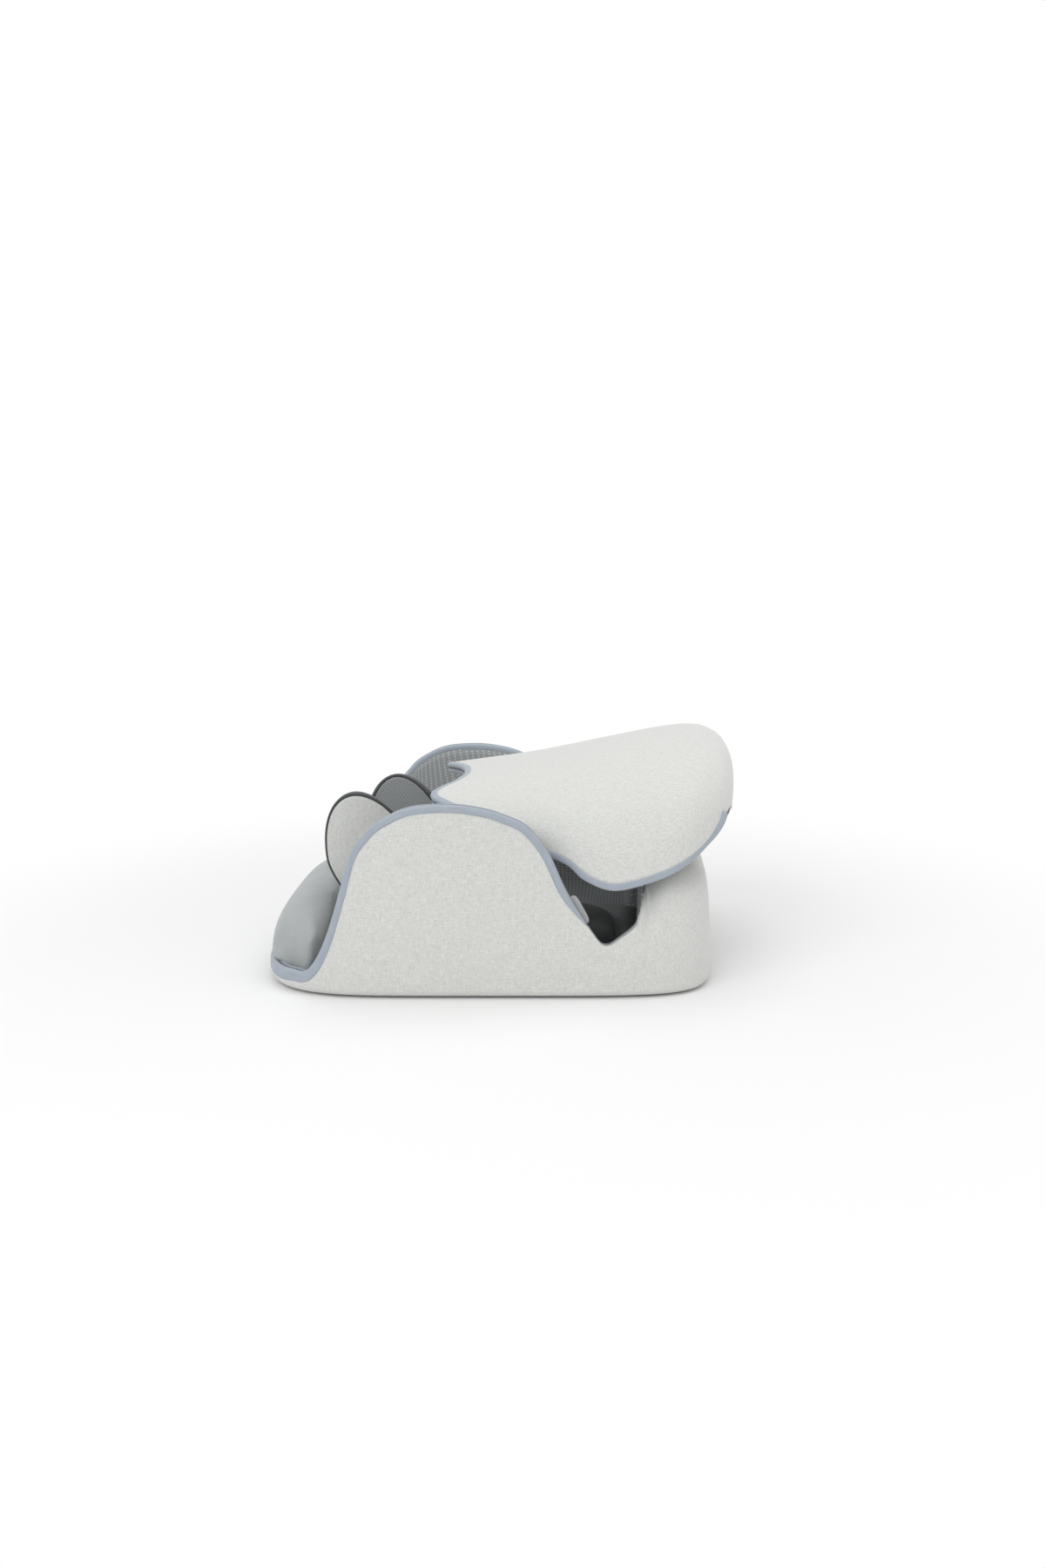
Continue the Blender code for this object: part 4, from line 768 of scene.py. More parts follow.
# %% Tape along the hood's edge
def hood_tape(sides, front):
    climb = np.linspace(1, 0, sides, endpoint=False) * HOOD_TAPE_END
    turn = np.linspace(-1, 1, front)
    p = np.concatenate([climb, 0 * turn, climb[::-1]])
    q = np.concatenate([0 * climb - 1, turn, 0 * climb + 1])
    route = hood(p, q)
    along = unit(np.gradient(route, axis=0))
    held = np.count_nonzero(climb > HOOD_TAPE_HOLD)
    lead = np.concatenate([along[[held] * held], along[held:-held], along[[-held - 1] * held]])
    lower = np.minimum(p, HOOD_TAPE_HOLD)
    normal = hood_normal(np.maximum(lower, 0.01), np.clip(q, -0.99, 0.99))
    into = unit(np.cross(normal, lead))
    towards = hood(np.array(0.5), np.array(0.0)) - hood(lower, q)
    into = np.where(np.sum(into * towards, axis=1, keepdims=True) < 0, -into, into)
    into = unit(into - along * np.sum(into * along, axis=1, keepdims=True))
    through = unit(np.cross(along, into))
    through = np.where(np.sum(through * normal, axis=1, keepdims=True) < 0, -through, through)
    half = np.full(len(p), BINDING_WIDTH / 2)
    depth = SANDWICH / 2 - HOOD_TAPE_LIFT * smooth(HOOD_TAPE_HOLD, 0.96, p)
    middle = route + into * half[:, None] - through * depth[:, None]
    return tape_points(middle, into, through, half, SANDWICH / 2 + BINDING_PROUD)


points, marks = hood_tape(150, 160)
dress(lay_grid("hood_edge_tape", points, marks=marks), TAPE, "hood", ["hood_binding"])

# %% [markdown]
# ## Neck wings
# Each neck wing is a soft tongue that leans forward from its root, cupped round the neck. It has a pale
# outside, a dark lining and a coil zip round its rim. The far one rests further back and lower.

# %% Neck wing surface
WING_ROOT, WING_TOP = np.array([-86 * MM, 30 * MM]), np.array([-109 * MM, 131 * MM])
WING_ROOT_Y, WING_LEAN_Y, WING_CUP = 52 * MM, 8 * MM, 9 * MM
WING_HALF_WIDTH, WING_SHOULDER, WING_TIP_POWER = 34 * MM, 0.46, 1.95
FAR_WING_SHIFT = np.array([17 * MM, -7 * MM])
NECK_WING_WALL, NECK_WING_LINER, ZIP_WIDTH, ZIP_PITCH = 3.6 * MM, 2.2 * MM, 3 * MM, 1.5 * MM
SIDES = (("right", -1), ("left", 1))


def neck_wing(side, a, b):
    """Outer face at share a across and b up: the height is b times a rounded top line, the width grows from
    the root, and the face curves in towards its two edges."""
    a, b = np.broadcast_arrays(a, b)
    shift = FAR_WING_SHIFT if side > 0 else np.zeros(2)
    root = WING_ROOT + shift * (1, 0)
    axis = WING_TOP + shift - root
    top_line = np.maximum(1 - np.abs(a) ** WING_TIP_POWER, 0) ** (1 / WING_TIP_POWER)
    height = b * (WING_SHOULDER + (1 - WING_SHOULDER) * top_line)
    half = WING_HALF_WIDTH * (0.6 + 0.4 * smooth(0.05, 0.5, height))
    level = root + axis * height[..., None] + np.stack([a * half, 0 * a], axis=-1)
    y = WING_ROOT_Y + WING_LEAN_Y * height - WING_CUP * a * a * (0.3 + 0.7 * height)
    return np.stack([level[..., 0], side * y, level[..., 1]], axis=-1)


def neck_wing_normal(side, a, b, step=1e-3):
    along = neck_wing(side, np.minimum(a + step, 0.999), b) - neck_wing(side, np.maximum(a - step, -0.999), b)
    up = neck_wing(side, a, np.minimum(b + step, 1)) - neck_wing(side, a, np.maximum(b - step, 0))
    return unit(np.cross(along, up) * -side)


def neck_wing_layer(side, depth, rows, columns):
    a = np.sin(np.linspace(-1, 1, columns) * math.pi / 2)[None, :] * -side * 0.996
    b = np.linspace(0, 1, rows)[:, None]
    return neck_wing(side, a, b) - neck_wing_normal(side, a, b) * depth


for word, side in SIDES:
    body = f"{word}_neck_wing"
    outside = lay_grid(f"{word}_neck_wing_cover", neck_wing_layer(side, 0.0, 50, 60), TRAY_MIDDLE)
    dress(thicken(outside, NECK_WING_WALL), MELANGE, body, [body])
    inside = neck_wing_layer(side, NECK_WING_WALL + GAP, 50, 60)
    inside = thicken(lay_grid(f"{word}_neck_wing_lining", inside, TRAY_MIDDLE), NECK_WING_LINER)
    dress(inside, PETAL_MESH, body, [f"{word}_neck_lining"])


# %% [markdown]
# ### Coil zips
# A coil zip is a plastic thread wound in small turns along a tape. From outside it reads as a dark band
# with slanting ribs, so the band's section swells once every tooth pitch, a little later round the band.
# The hollows between the turns are painted near black as painted shade.

# %% Zip finish and coils
ZIP, tree, shader = new_finish("dark_coil_zip", 0.5, Specular_IOR_Level=0.4)
uv = on_cloth(tree)
tone = cloth_noise(tree, uv, (900.0, 900.0, 1.0))
mark = marked(tree)
coil_colour = mix_colours(tree, tone, (0.075, 0.08, 0.082), (0.12, 0.125, 0.13))
# Where the rib mark is low, in the hollows between the turns, the near-black is painted shade.
paint(tree, shader, mark, (0.02, 0.021, 0.023), coil_colour)


def zip_route(count):
    """Shares a and b round a neck wing's rim: up the front edge, over the top by a cosine, down the rear."""
    climb = np.linspace(0.5, 1, count, endpoint=False)
    top = -np.cos(np.linspace(0, math.pi, 4 * count))
    a = np.concatenate([0 * climb - 1, top, 0 * climb + 1])
    return a, np.concatenate([climb, 0 * top + 1, climb[::-1]])


def zip_points(side, per_tooth=6, around=24):
    a, b = zip_route(60)
    edge, normal = neck_wing(side, a, b), neck_wing_normal(side, a * 0.95, np.minimum(b, 0.95))
    depth = (NECK_WING_WALL + GAP + NECK_WING_LINER) / 2
    along = unit(np.gradient(edge, axis=0))
    away = unit(np.cross(along, normal))
    outwards = edge - neck_wing(side, np.array(0.0), np.array(0.55))
    away = np.where(np.sum(away * outwards, axis=1, keepdims=True) < 0, -away, away)
    path = np.concatenate([edge + away * (ZIP_WIDTH / 2 - GAP) - normal * depth, away, normal], axis=1)
    length = np.linalg.norm(np.diff(path[:, :3], axis=0), axis=1).sum()
    teeth = round(length / ZIP_PITCH)
    station = np.linspace(0, 1, teeth * per_tooth + 1)
    steps = np.concatenate([[0], np.cumsum(np.linalg.norm(np.diff(path[:, :3], axis=0), axis=1))]) / length
    fine = np.stack([np.interp(station, steps, path[:, k]) for k in range(9)], axis=1)
    middle, away, normal = fine[:, None, :3], unit(fine[:, None, 3:6]), unit(fine[:, None, 6:])
    turn = np.linspace(0, 2 * math.pi, around + 1)[None, :]
    # The rib is low in the hollows between turns, where the zip finish paints shade.
    rib = 0.5 + 0.5 * np.cos(2 * math.pi * (station[:, None] * teeth) + turn)
    across = rounded(np.cos(turn), 0.7) * ZIP_WIDTH / 2
    through = rounded(np.sin(turn), 0.7) * (depth + 0.3 * MM)
    size = 0.86 + 0.14 * rib
    band = middle + away * (across * size)[..., None] + normal * (through * size)[..., None]
    return close_ends(band), np.pad(rib, ((1, 1), (0, 0))), teeth


for word, side in SIDES:
    points, marks, teeth = zip_points(side)
    coil = lay_grid(f"{word}_neck_zip_coil", points, marks=marks)
    dress(coil, ZIP, f"{word}_neck_wing", [f"{word}_neck_zip"])
    print("teeth:", teeth)

# %% [markdown]
# ## Cushions
# A cushion is a closed form. The neck roll is a section carried along the shoulder lip; the bed and the
# head pad are rounded rectangles in plan, with a flat foot and a crowned top. A short cloth simulation
# with air pressure then swells each one, held to a few millimetres, which rounds it as stuffing does.


# %% Air pressure
def puff(piece, pressure, cap, voxel=4 * MM, frames=20):
    """Swells a closed form by cloth simulation: remeshed, blown up, each point held within cap of its place."""
    scene = bpy.context.scene
    work = bpy.data.objects.new("swelling", piece.data.copy())
    scene.collection.objects.link(work)
    remesh = work.modifiers.new("even", "REMESH")
    remesh.mode = "VOXEL"
    remesh.voxel_size = voxel
    work.data = bpy.data.meshes.new_from_object(work.evaluated_get(bpy.context.evaluated_depsgraph_get()))
    work.modifiers.clear()
    start = np.array([v.co for v in work.data.vertices])
    cloth = work.modifiers.new("air", "CLOTH")
    cloth.settings.use_pressure = True
    cloth.settings.uniform_pressure_force = pressure
    cloth.settings.effector_weights.gravity = 0.0
    cloth.settings.quality = 5
    for step in range(1, frames + 1):
        scene.frame_set(step)
    swollen = bpy.data.meshes.new_from_object(work.evaluated_get(bpy.context.evaluated_depsgraph_get()))
    move = np.array([v.co for v in swollen.vertices]) - start
    far = np.linalg.norm(move, axis=1, keepdims=True)
    move *= np.minimum(1, cap / np.maximum(far, 1e-9))
    swollen.vertices.foreach_set("co", (start + move).reshape(-1))
    scene.frame_set(1)
    name = piece.data.name
    piece.data = swollen
    piece.data.name = name
    bpy.data.objects.remove(work)
    rounding = piece.modifiers.new("rounding", "SUBSURF")
    rounding.levels = rounding.render_levels = 1
    swollen.shade_smooth()
    print(f"{piece.name}: swelled by up to {far.max() * 1000:.1f} mm, held to {cap * 1000:.1f}")
    return piece


# %% [markdown]
# ### Neck roll
# The roll lies along the shoulder lip. Its section has a flat foot, a round front and a crowned top; it is
# highest in the middle and lower towards its ends, and its last few rows close in to a rounded end.

# %% Neck roll
ROLL_BACK_X, ROLL_HEIGHT, ROLL_SET_BACK, ROLL_END = -127.5 * MM, 59 * MM, 1 * MM, 0.122
RISER_HEIGHT, ROLL_CORNER, ROLL_CREST, ROLL_SKIRT = 7 * MM, 2.5 * MM, 0.72, 4 * MM


def round_section(knots, steps):
    """Closed smooth curve through each row of knots."""
    ahead, behind, after = (np.roll(knots, k, axis=1) for k in (-1, 1, -2))
    t = np.linspace(0, 1, steps, endpoint=False)[None, None, :, None]
    a, b, c, d = (k[:, :, None] for k in (behind, knots, ahead, after))
    curve = 0.5 * (2 * b + (c - a) * t + (2 * a - 5 * b + 4 * c - d) * t**2 + (3 * b - a - 3 * c + d) * t**3)
    curve = curve.reshape(len(knots), -1, knots.shape[2])
    return np.concatenate([curve, curve[:, :1]], axis=1)


def rounded_ends(rows, reach, count=6):
    """Adds rows at both ends that close in to a point by a quarter turn, and bulge out by reach."""
    turn = np.linspace(0, math.pi / 2, count + 1)[1:, None, None]
    caps = []
    for end, before in ((rows[0], rows[1]), (rows[-1], rows[-2])):
        middle = end.mean(axis=0)
        out = unit(middle - before.mean(axis=0))
        caps.append(middle + (end - middle) * np.cos(turn) + out * reach * np.sin(turn))
    return np.concatenate([caps[0][::-1], rows, caps[1]])


def roll_points(count=90):
    u = np.linspace(-ROLL_END, ROLL_END, count) * 0.96
    share = np.abs(u) / ROLL_END
    start, step = at(OUTLINE, u), inward(u)
    back = (ROLL_BACK_X - start[:, 0]) / step[:, 0]
    under = SEAT_Z + RISER_HEIGHT + GAP
    top = under + (ROLL_HEIGHT - under) * (0.32 + 0.68 * np.sqrt(np.maximum(1 - share**2.6, 0)))
    edge = (SANDWICH + BINDING_PROUD + 2 * MM) * smooth(0.62, 0.88, share)
    front, low = edge + ROLL_SET_BACK, under + ROLL_CORNER
    turn = np.linspace(0, math.pi / 2, 6)[None, :]
    inset = front[:, None] + (ROLL_CREST * back - front)[:, None] * (1 - np.cos(turn))
    height = low + (top - low)[:, None] * np.sin(turn)
    foot = np.stack([back * 0.94, back * 0.5, edge + 5 * MM, edge + 0.5 * MM], axis=1)
    skirt = under - ROLL_SKIRT * (1 + 0.6 * smooth(0.7, 0.9, share))
    foot_z = np.stack([0 * back + under, 0 * back + under, skirt, skirt + 0.5 * MM], axis=1)
    rear = np.stack([back, back], axis=1)
    rear_z = np.stack([top - 5 * MM, (top + under) / 2], axis=1)
    distance = np.concatenate([foot, inset, rear], axis=1)
    level = np.concatenate([foot_z, height, rear_z], axis=1)
    knots = np.concatenate([start[:, None] + step[:, None] * distance[..., None], level[..., None]], axis=-1)
    return rounded_ends(round_section(knots, 6), 2 * MM)


roll = puff(lay_grid("neck_roll_cushion", roll_points()), pressure=3.0, cap=1.2 * MM, voxel=3 * MM)


# %% [markdown]
# ### Bed and head pad
# Both are rounded rectangles in plan whose sides draw in a little between the corners. The top swells from
# the rim by a root curve and is dished where the neck or the head lies; the foot stays flat.


# %% Bed and head pad
def cushion(middle, half, foot, height, dish, power=5.0, rings=26, around=120):
    """Closed cushion: from the top's middle out to the rim and back along the foot. At share r of the radius
    the top is height times (1 - r to the 4th) to the power 0.45, less the dish."""
    angle = np.linspace(0, 2 * math.pi, around + 1)[None, :]
    radius = rounded_rectangle(angle, power)
    radius = radius * (1 - 0.035 * np.cos(2 * angle) ** 2)
    r = np.sin(np.linspace(0, math.pi / 2, rings))[:, None]
    a, b = r * radius * np.cos(angle), r * radius * np.sin(angle)
    crown = height * np.maximum(1 - r**4, 0) ** 0.45 * (1 - dish(a, b))
    top = np.stack([middle[0] + half[0] * a, middle[1] + half[1] * b, foot + crown + 0 * a], axis=-1)
    base = np.stack([top[..., 0], top[..., 1], np.full_like(a, foot)], axis=-1)
    return np.concatenate([top, base[-2::-1]])


BED_X, BED_HALF = (-117 * MM, -58 * MM), 43 * MM
TRACTION_CELL_HEIGHT = 8 * MM
BED_FOOT = SEAT_Z + TRACTION_CELL_HEIGHT + GAP
bed_middle = (np.mean(BED_X), 0.0)
bed_half = ((BED_X[1] - BED_X[0]) / 2 - 1 * MM, BED_HALF - 1.2 * MM)
bed_points = cushion(bed_middle, bed_half, BED_FOOT, 24 * MM, lambda a, b: 0.34 * np.exp(-((b / 0.55) ** 2)))
bed = puff(lay_grid("neck_bed_cushion", bed_points), pressure=2.0, cap=0.8 * MM)
PAD_X, PAD_HALF = (-52 * MM, 94 * MM), 70 * MM
pad_half = ((PAD_X[1] - PAD_X[0]) / 2 - 1 * MM, PAD_HALF - 1 * MM)
pad_points = cushion(
    (np.mean(PAD_X), 0.0),
    pad_half,
    SEAT_Z,
    14 * MM,
    lambda a, b: 0.4 * np.exp(-((a / 0.6) ** 2) - (b / 0.6) ** 2),
    power=3.2,
)
pad = puff(lay_grid("head_pad_cushion", pad_points), pressure=2.0, cap=0.8 * MM)


# %% [markdown]
# A remeshed cushion has lost its UV map, so its finish reads Object coordinates: the same lining, drawn in
# space. Smooth knit noise and a fine lattice of dimples are enough on small cushions.


# %% Cushion finishes
def knit(name, dark, pale, pitch):
    """Knit in Object coordinates: a cell lattice of small stitches, with cloudy wear."""
    material, tree, shader = new_finish(name, 0.9, Sheen_Weight=0.2, Sheen_Roughness=0.5)
    place = in_space(tree)
    stitch = node(tree, "TexVoronoi", {"Vector": place, "Scale": 1 / pitch, "Randomness": 0.35}).outputs["Distance"]
    cloud = node(tree, "TexNoise", {"Vector": place, "Scale": 60.0, "Detail": 4.0}).outputs["Fac"]
    share = maths(tree, "ADD", maths(tree, "MULTIPLY", cloud, 0.7), maths(tree, "MULTIPLY", stitch, 0.4))
    paint(tree, shader, share, dark, pale)
    bump(tree, shader, maths(tree, "MULTIPLY", stitch, -1.0), 0.35, 0.25 * MM)
    print("finish:", material.name)
    return material


ROLL_KNIT = knit("grey_roll_knit", (0.31, 0.33, 0.335), (0.46, 0.485, 0.49), 1.1 * MM)
DARK_KNIT = knit("dark_cushion_knit", (0.085, 0.09, 0.095), (0.17, 0.175, 0.18), 1.4 * MM)
dress(roll, ROLL_KNIT, "base", ["neck_roll"])
dress(bed, DARK_KNIT, "neck_bed", ["neck_bed"])
dress(pad, DARK_KNIT, "base", ["head_pad"])

# %% [markdown]
# ### Foam riser, traction cell and air cells
# A foam block carries the roll. Under the bed lies the traction cell, a bellows of two stacked pillows: the
# waist between them closes when it is empty and opens as air lifts the bed. The other air cells are thin
# quilted pillows behind the linings of the hood and the wings; each is a sheet with two faces, and the
# distance between the faces falls to nothing at the welded rim.


# %% Foam riser and traction cell
def pillow_points(frame_at, thickness, count=36):
    """Two faces of a thin pillow over shares a and b from -1 to 1: half the thickness times the root of
    (1 - a to the 4th)(1 - b to the 4th), with shallow quilting across a."""
    share = np.sin(np.linspace(-1, 1, count) * math.pi / 2)
    a, b = share[:, None], share[None, :]
    middle, normal = frame_at(a, b)
    swell = np.sqrt(np.maximum((1 - a**4) * (1 - b**4), 0)) * (0.86 + 0.14 * np.cos(3 * math.pi * a))
    lift = normal * (thickness / 2 * swell)[..., None]
    front, back = middle + lift, middle - lift
    return np.concatenate([front, back[:, -2::-1]], axis=1)


def bellows_points(low, high, folds, rings=10, around=120, levels=41):
    """Stacked pillows: a rounded rectangle whose size at height share h dips at each waist by 1 - |sin|."""
    h = np.linspace(0, 1, levels)[:, None]
    angle = np.linspace(0, 2 * math.pi, around + 1)[None, :]
    power = 6.0
    radius = rounded_rectangle(angle, power)
    draw_in = 3 * MM * (1 - np.abs(np.sin(folds * math.pi * h))) ** 1.5
    middle, half = (low + high) / 2, (high - low) / 2
    x = middle[0] + (half[0] - draw_in) * radius * np.cos(angle)
    y = middle[1] + (half[1] - draw_in) * radius * np.sin(angle)
    side = np.stack([x, y, low[2] + (high[2] - low[2]) * h + 0 * x], axis=-1)
    share = np.linspace(0, 1, rings, endpoint=False)[:, None, None]
    foot = np.array([middle[0], middle[1], low[2]])
    head = np.array([middle[0], middle[1], high[2]])
    return np.concatenate([foot + (side[:1] - foot) * share, side, head + (side[-1:] - head) * share[::-1]])


def corners_of(name):
    """A solid's box as the formulas see it, before the shift to the frame."""
    low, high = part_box(name)
    return np.array(low) - SHIFT, np.array(high) - SHIFT


def block_points(low, high, power=9.0, around=160, levels=30):
    """Block with rounded edges: a superellipsoid-like drum whose size falls off near its top and foot."""
    h = np.sin(np.linspace(-1, 1, levels) * math.pi / 2)[:, None]
    angle = np.linspace(0, 2 * math.pi, around + 1)[None, :]
    radius = rounded_rectangle(angle, power)
    middle, half = (low + high) / 2, (high - low) / 2
    inset = 1.5 * MM * (1 - np.maximum(1 - np.abs(h) ** 6, 0) ** 0.5)
    x = middle[0] + (half[0] - inset) * radius * np.cos(angle)
    y = middle[1] + (half[1] - inset) * radius * np.sin(angle)
    side = np.stack([x, y, middle[2] + half[2] * h + 0 * x], axis=-1)
    return close_ends(side)


FOAM, tree, shader = new_finish("open_cell_foam", 0.95)
place = in_space(tree)
cells = node(tree, "TexVoronoi", {"Vector": place, "Scale": 900.0}).outputs["Distance"]
paint(tree, shader, cells, (0.30, 0.30, 0.29), (0.62, 0.62, 0.60))
bump(tree, shader, cells, 0.6, 0.4 * MM)
FILM, tree, shader = new_finish("air_cell_film", 0.38, Specular_IOR_Level=0.45)
place = in_space(tree)
crinkle = node(tree, "TexNoise", {"Vector": place, "Scale": 220.0, "Detail": 5.0}).outputs["Fac"]
paint(tree, shader, crinkle, (0.36, 0.42, 0.46), (0.60, 0.66, 0.69))
bump(tree, shader, crinkle, 0.4, 0.6 * MM)

riser = lay_grid("roll_riser_foam", block_points(*corners_of("roll_riser")))
dress(riser, FOAM, "base", ["roll_riser"])
cell_low, cell_high = corners_of("traction_cell")
bellows = lay_grid("traction_bellows", bellows_points(cell_low, cell_high, 2))
bellows.data.materials.append(FILM)
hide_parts("traction_cell")
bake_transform(bellows)
print(f"{bellows.name}: {len(bellows.data.polygons)} faces between base and neck_bed")


# %% Air cells
CELL_THICKNESS, WING_CELL_THICKNESS = 6 * MM, 4 * MM
CELL_DEPTH = SHELL_WALL + LINER_WALL + 4 * GAP + CELL_THICKNESS / 2
HOOD_CELLS = {
    "right_temple_cell": ((0.12, 0.46), (-0.76, -0.34)),
    "left_temple_cell": ((0.12, 0.46), (0.34, 0.76)),
    "brow_cell": ((0.14, 0.34), (-0.24, 0.24)),
}


def between(limits, share):
    """Value at a share from -1 to 1 of a range."""
    return (limits[0] + limits[1]) / 2 + (limits[1] - limits[0]) / 2 * share


def wing_cell_frame(side, a, b):
    """Middle surface of a wing's air cell, between the cover and the lining, and its outward normal."""
    span = (0.157, 0.263)
    u = between(span if side < 0 else (1 - span[0], 1 - span[1]), a) + 0 * b
    w = between((0.1, 0.44), b) + 0 * a
    skin, step, _ = wall(u, w, at(SHELL_EDGE, u))
    normal = np.concatenate([-step, np.zeros_like(step[..., :1])], axis=-1)
    return skin - normal * (SHELL_WALL + 4 * GAP + WING_CELL_THICKNESS / 2), normal


for name, (along, across) in HOOD_CELLS.items():

    def hood_cell_frame(a, b):
        p, q = between(along, a) + 0 * b, between(across, b) + 0 * a
        normal = hood_normal(p, q)
        return hood(p, q) - normal * CELL_DEPTH, normal

    cell = lay_grid(f"{name}_film", pillow_points(hood_cell_frame, CELL_THICKNESS))
    dress(cell, FILM, "hood", [name])
for word, side in SIDES:
    points = pillow_points(lambda a, b: wing_cell_frame(side, a, b), WING_CELL_THICKNESS)
    dress(lay_grid(f"{word}_wing_cell_film", points), FILM, "base", [f"{word}_wing_cell"])

# %% [markdown]
# ## Hinge panel and pull tab
# A strip of the outer cloth joins the hood to the crown block, and the hood folds about its lower edge. The
# pull tab is a small moulded strip with a slit, sewn on where the tape ends; the slit is not cut but
# painted near black as painted shade.

# %% Hinge panel and pull tab
PANEL_WALL, PANEL_SHARE, PANEL_FOOT_X, PANEL_FOOT_Z = 2.4 * MM, 0.46, 143 * MM, 91.6 * MM
TAB_WIDTH, TAB_WALL, TAB_FOOT = 10 * MM, 2.4 * MM, np.array([54.5, -123.0, 71.0]) * MM
TAB_DROP = np.array([11.0, 1.0, -20.0]) * MM


def panel_points(rows, columns):
    """Ruled strip from the block to a line inside the hood, bowed out by a sine between the two."""
    q = np.linspace(-PANEL_SHARE, PANEL_SHARE, columns)
    p = np.full_like(q, 0.97)
    top = hood(p, q) - hood_normal(p, q) * (SHELL_WALL + LINER_WALL + 2 * GAP + PANEL_WALL)
    foot = np.stack([0 * q + PANEL_FOOT_X, top[:, 1], 0 * q + PANEL_FOOT_Z], axis=-1)
    share = np.linspace(0, 1, rows)[:, None, None]
    bow = np.array([0.6 * MM, 0.0, 0.0]) * np.sin(math.pi * share)
    return foot + (top - foot) * share + bow


def tab_points(around=72, rings=9, inner=14):
    """Strip with round ends: a superellipse in plan, carried through its thickness with soft edges. The marks
    are 1 in a slit along the upper half of each face, where the finish paints shade in place of an opening."""
    down, out = unit(TAB_DROP), np.array([0.0, -1.0, 0.0])
    wide = unit(np.cross(down, out))
    length = np.linalg.norm(TAB_DROP)
    turn = np.linspace(0, 2 * math.pi, around + 1)[None, :]
    level = np.sin(np.linspace(-1, 1, rings) * math.pi / 2)[:, None]
    inset = 0.5 * MM * (1 - np.sqrt(np.maximum(1 - level**4, 0)))
    a = rounded(np.cos(turn), 0.45) * (length / 2 - inset)
    b = rounded(np.sin(turn), 0.45) * (TAB_WIDTH / 2 - inset)
    middle = TAB_FOOT + TAB_DROP / 2
    edge = middle + a[..., None] * down + b[..., None] * wide + (level * TAB_WALL / 2 + 0 * a)[..., None] * out
    share = np.linspace(0, 1, inner, endpoint=False)[:, None, None]
    near, far = (middle + out * TAB_WALL / 2 * sign for sign in (-1, 1))
    points = np.concatenate([near + (edge[:1] - near) * share, edge, far + (edge[-1:] - far) * share[::-1]])
    length_share, width_share = (points - middle) @ down / length, (points - middle) @ wide / TAB_WIDTH
    return points, np.exp(-((width_share / 0.12) ** 4) - ((length_share + 0.12) / 0.22) ** 4)


panel = thicken(lay_grid("hood_hinge_panel", panel_points(24, 90), HOOD_MIDDLE), PANEL_WALL)
dress(panel, MELANGE, "hood", ["hinge_panel"])
TAB, tree, shader = new_finish("pale_grey_tab", 0.5, Specular_IOR_Level=0.4)
place = in_space(tree)
grain = node(tree, "TexNoise", {"Vector": place, "Scale": 1500.0, "Detail": 2.0}).outputs["Fac"]
mark = marked(tree)
plain = mix_colours(tree, grain, (0.42, 0.44, 0.45), (0.52, 0.54, 0.55))
# The slit's marks mix in a near-black: painted shade in place of the open slit.
paint(tree, shader, mark, plain, (0.03, 0.03, 0.035))
bump(tree, shader, grain, 0.15, 0.1 * MM)
points, marks = tab_points()
tab = lay_grid("pull_tab_strip", points, marks=marks)
dress(tab, TAB, "base", ["pull_tab"])

# %% [markdown]
# ## Moulded, metal and rubber pieces
# The hard pieces keep their solid forms from the frame, and get finishes in Object coordinates: a fine
# grain for mouldings, brushed streaks for plated steel, dimples for the grip sheet and copper tracks for
# the board.


# %% Hard finishes
def grained(name, dark, pale, roughness, grain=1800.0, strength=0.15, **sockets):
    """Moulded plastic or rubber: one colour with fine grain."""
    material, tree, shader = new_finish(name, roughness, **sockets)
    place = in_space(tree)
    fine = node(tree, "TexNoise", {"Vector": place, "Scale": grain, "Detail": 3.0}).outputs["Fac"]
    paint(tree, shader, fine, dark, pale)
    bump(tree, shader, fine, strength, 0.1 * MM)
    return material


def dimpled(name):
    """Grip rubber: a square lattice of raised dots."""
    material, tree, shader = new_finish(name, 0.85)
    place = in_space(tree)
    dots = node(tree, "TexVoronoi", {"Vector": place, "Scale": 250.0, "Randomness": 0.0}).outputs["Distance"]
    raised = node(tree, "MapRange", {"Value": dots, "From Min": 0.36, "From Max": 0.28}).outputs[0]
    paint(tree, shader, raised, (0.04, 0.04, 0.043), (0.11, 0.11, 0.115))
    bump(tree, shader, raised, 0.7, 0.4 * MM)
    return material


def brushed(name):
    """Plated steel: noise stretched along X."""
    material, tree, shader = new_finish(name, 0.32, Metallic=1.0)
    place = in_space(tree)
    streak = node(tree, "Mapping", {"Vector": place, "Scale": (60.0, 2500.0, 2500.0)}).outputs[0]
    fine = node(tree, "TexNoise", {"Vector": streak, "Scale": 1.0, "Detail": 2.0}).outputs["Fac"]
    paint(tree, shader, fine, (0.50, 0.50, 0.50), (0.68, 0.68, 0.67))
    bump(tree, shader, fine, 0.1, 0.05 * MM)
    return material


def tracked(name):
    """Circuit board: brick cells as pads and tracks on green resist."""
    material, tree, shader = new_finish(name, 0.45)
    place = in_space(tree)
    cells = node(
        tree,
        "TexBrick",
        {"Vector": place, "Scale": 90.0, "Mortar Size": 0.06, "Color1": (1, 1, 1, 1), "Color2": (0.7, 0.7, 0.7, 1)},
    ).outputs["Fac"]
    paint(tree, shader, cells, (0.015, 0.10, 0.05), (0.10, 0.28, 0.10))
    bump(tree, shader, cells, 0.3, 0.1 * MM)
    return material


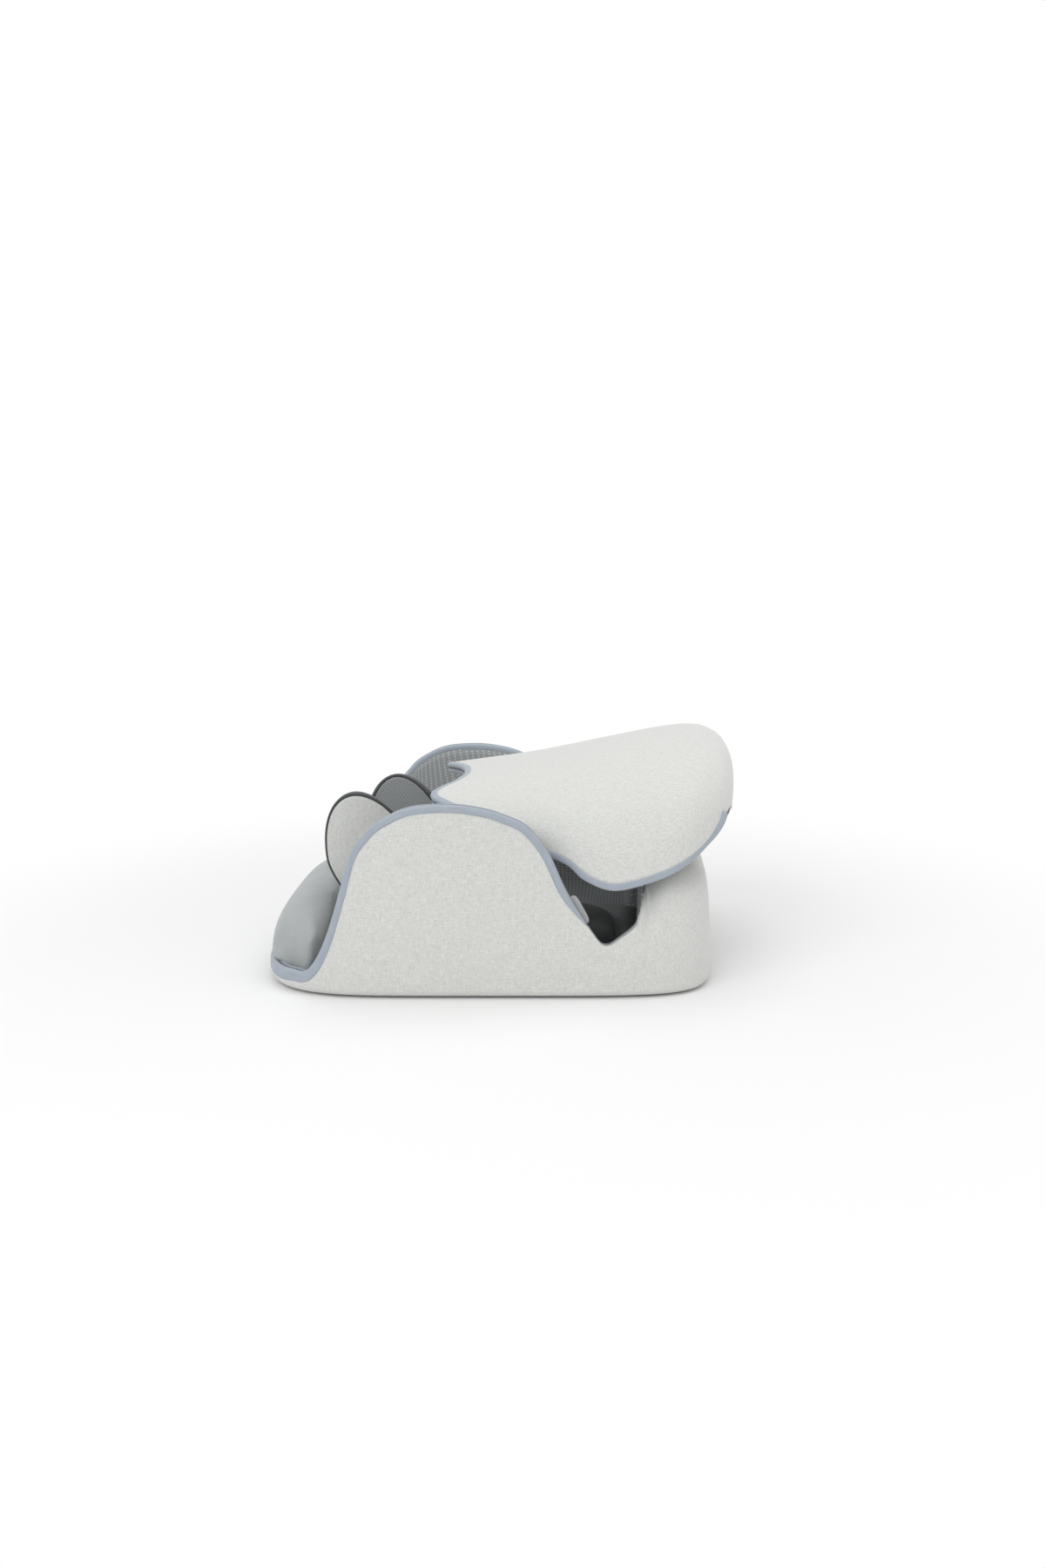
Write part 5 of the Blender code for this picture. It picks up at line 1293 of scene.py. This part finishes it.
BLACK = grained("black_moulding", (0.018, 0.018, 0.020), (0.040, 0.040, 0.043), 0.55)
GREY = grained("grey_moulding", (0.20, 0.21, 0.22), (0.27, 0.28, 0.29), 0.5)
SLATE = grained("slate_moulding", (0.20, 0.26, 0.33), (0.27, 0.33, 0.41), 0.45)
HOSE = grained("clear_hose", (0.50, 0.53, 0.54), (0.62, 0.65, 0.66), 0.3, 400.0, 0.1, Transmission_Weight=0.35)
GRIP, STEEL, BOARD = dimpled("grip_rubber"), brushed("plated_steel"), tracked("circuit_board")
HARD_NODES = {
    "grip_sheet": GRIP,
    "equipment_tray": BLACK,
    "pump_head": BLACK,
    "battery_pack": BLACK,
    "air_pump": STEEL,
    "charge_socket": STEEL,
    "air_valve_1": GREY,
    "air_valve_2": GREY,
    "air_valve_3": GREY,
    "control_panel": GREY,
    "power_button": SLATE,
    "control_board": BOARD,
    "left_wing_hose": HOSE,
    "right_wing_hose": HOSE,
}
for name, finish in HARD_NODES.items():
    solid = bpy.data.objects[name]
    solid.data.materials.clear()
    solid.data.materials.append(finish)
print("finished solids:", len(HARD_NODES))

# %% [markdown]
# ## Studio
# The photograph has a white ground and soft light from above and in front, with a faint shadow under the
# object. A level camera with its lens shifted keeps upright lines upright, as in the photograph.

# %% Floor, light and camera
scene = bpy.context.scene
FLOOR_X, FLOOR_Y, FLOOR_DROP = (-6.0, 6.0), (-3.0, 9.0), 0.2 * MM
floor_corners = np.array([[[x, y, -FLOOR_DROP] for x in FLOOR_X] for y in FLOOR_Y])
floor = lay_grid("studio_floor", floor_corners, (0.0, 0.0, -1.0))
FLOOR, tree, shader = new_finish("studio_floor", 0.9, Specular_IOR_Level=0.0)
shader.inputs["Base Color"].default_value = (0.9, 0.9, 0.9, 1.0)
place = in_space(tree)
away = node(tree, "VectorMath", {0: place}, operation="LENGTH").outputs["Value"]
white_share = node(
    tree, "MapRange", {"Value": away, "From Min": 0.25, "From Max": 0.6}, interpolation_type="SMOOTHSTEP"
).outputs[0]
glow = node(tree, "Emission", {"Color": (1.0, 1.0, 1.0, 1.0), "Strength": 1.0}).outputs[0]
sweep = node(tree, "MixShader", {0: white_share, 1: shader.outputs[0], 2: glow}).outputs[0]
tree.links.new(sweep, tree.nodes["Material Output"].inputs["Surface"])
floor.data.materials.append(FLOOR)

world = bpy.data.worlds.new("studio_world")
scene.world = world
world.use_nodes = True
tree = world.node_tree
light_path = node(tree, "LightPath")
seen = maths(tree, "MAXIMUM", light_path.outputs["Is Camera Ray"], light_path.outputs["Is Glossy Ray"])
seen = maths(tree, "MAXIMUM", seen, light_path.outputs["Is Transmission Ray"])
background = tree.nodes["Background"]
background.inputs["Color"].default_value = (1.0, 1.0, 1.0, 1.0)
strength = node(tree, "MapRange", {"Value": seen, "To Min": 0.62, "To Max": 1.0}).outputs[0]
tree.links.new(strength, background.inputs["Strength"])


def softbox(name, place, aim, size, power):
    """A square area light at a place, turned towards a point."""
    data = bpy.data.lights.new(name, "AREA")
    data.size = size
    data.energy = power
    made = bpy.data.objects.new(name, data)
    made.location = place
    made.rotation_euler = (Vector(aim) - Vector(place)).to_track_quat("-Z", "Y").to_euler()
    scene.collection.objects.link(made)


softbox("key_light", (-0.7, -1.2, 1.15), (0.0, 0.0, 0.06), 1.2, 8.4)
softbox("top_light", (0.2, 0.2, 1.7), (0.0, 0.0, 0.06), 1.4, 9.5)
softbox("fill_light", (1.3, -0.9, 0.9), (0.0, 0.0, 0.08), 1.2, 3.0)

lens = bpy.data.cameras.new("photo_camera")
lens.sensor_fit = "VERTICAL"
lens.sensor_height = 36.0
lens.lens = 33.5
lens.shift_x, lens.shift_y = -80 / 1800, -318 / 1800
camera = bpy.data.objects.new("photo_camera", lens)
camera.location = (0.06775, -1.170, 0.351)
camera.rotation_euler = (math.pi / 2, 0.0, 0.0)
scene.collection.objects.link(camera)
scene.camera = camera
scene.view_settings.view_transform = "Standard"
print("studio ready")
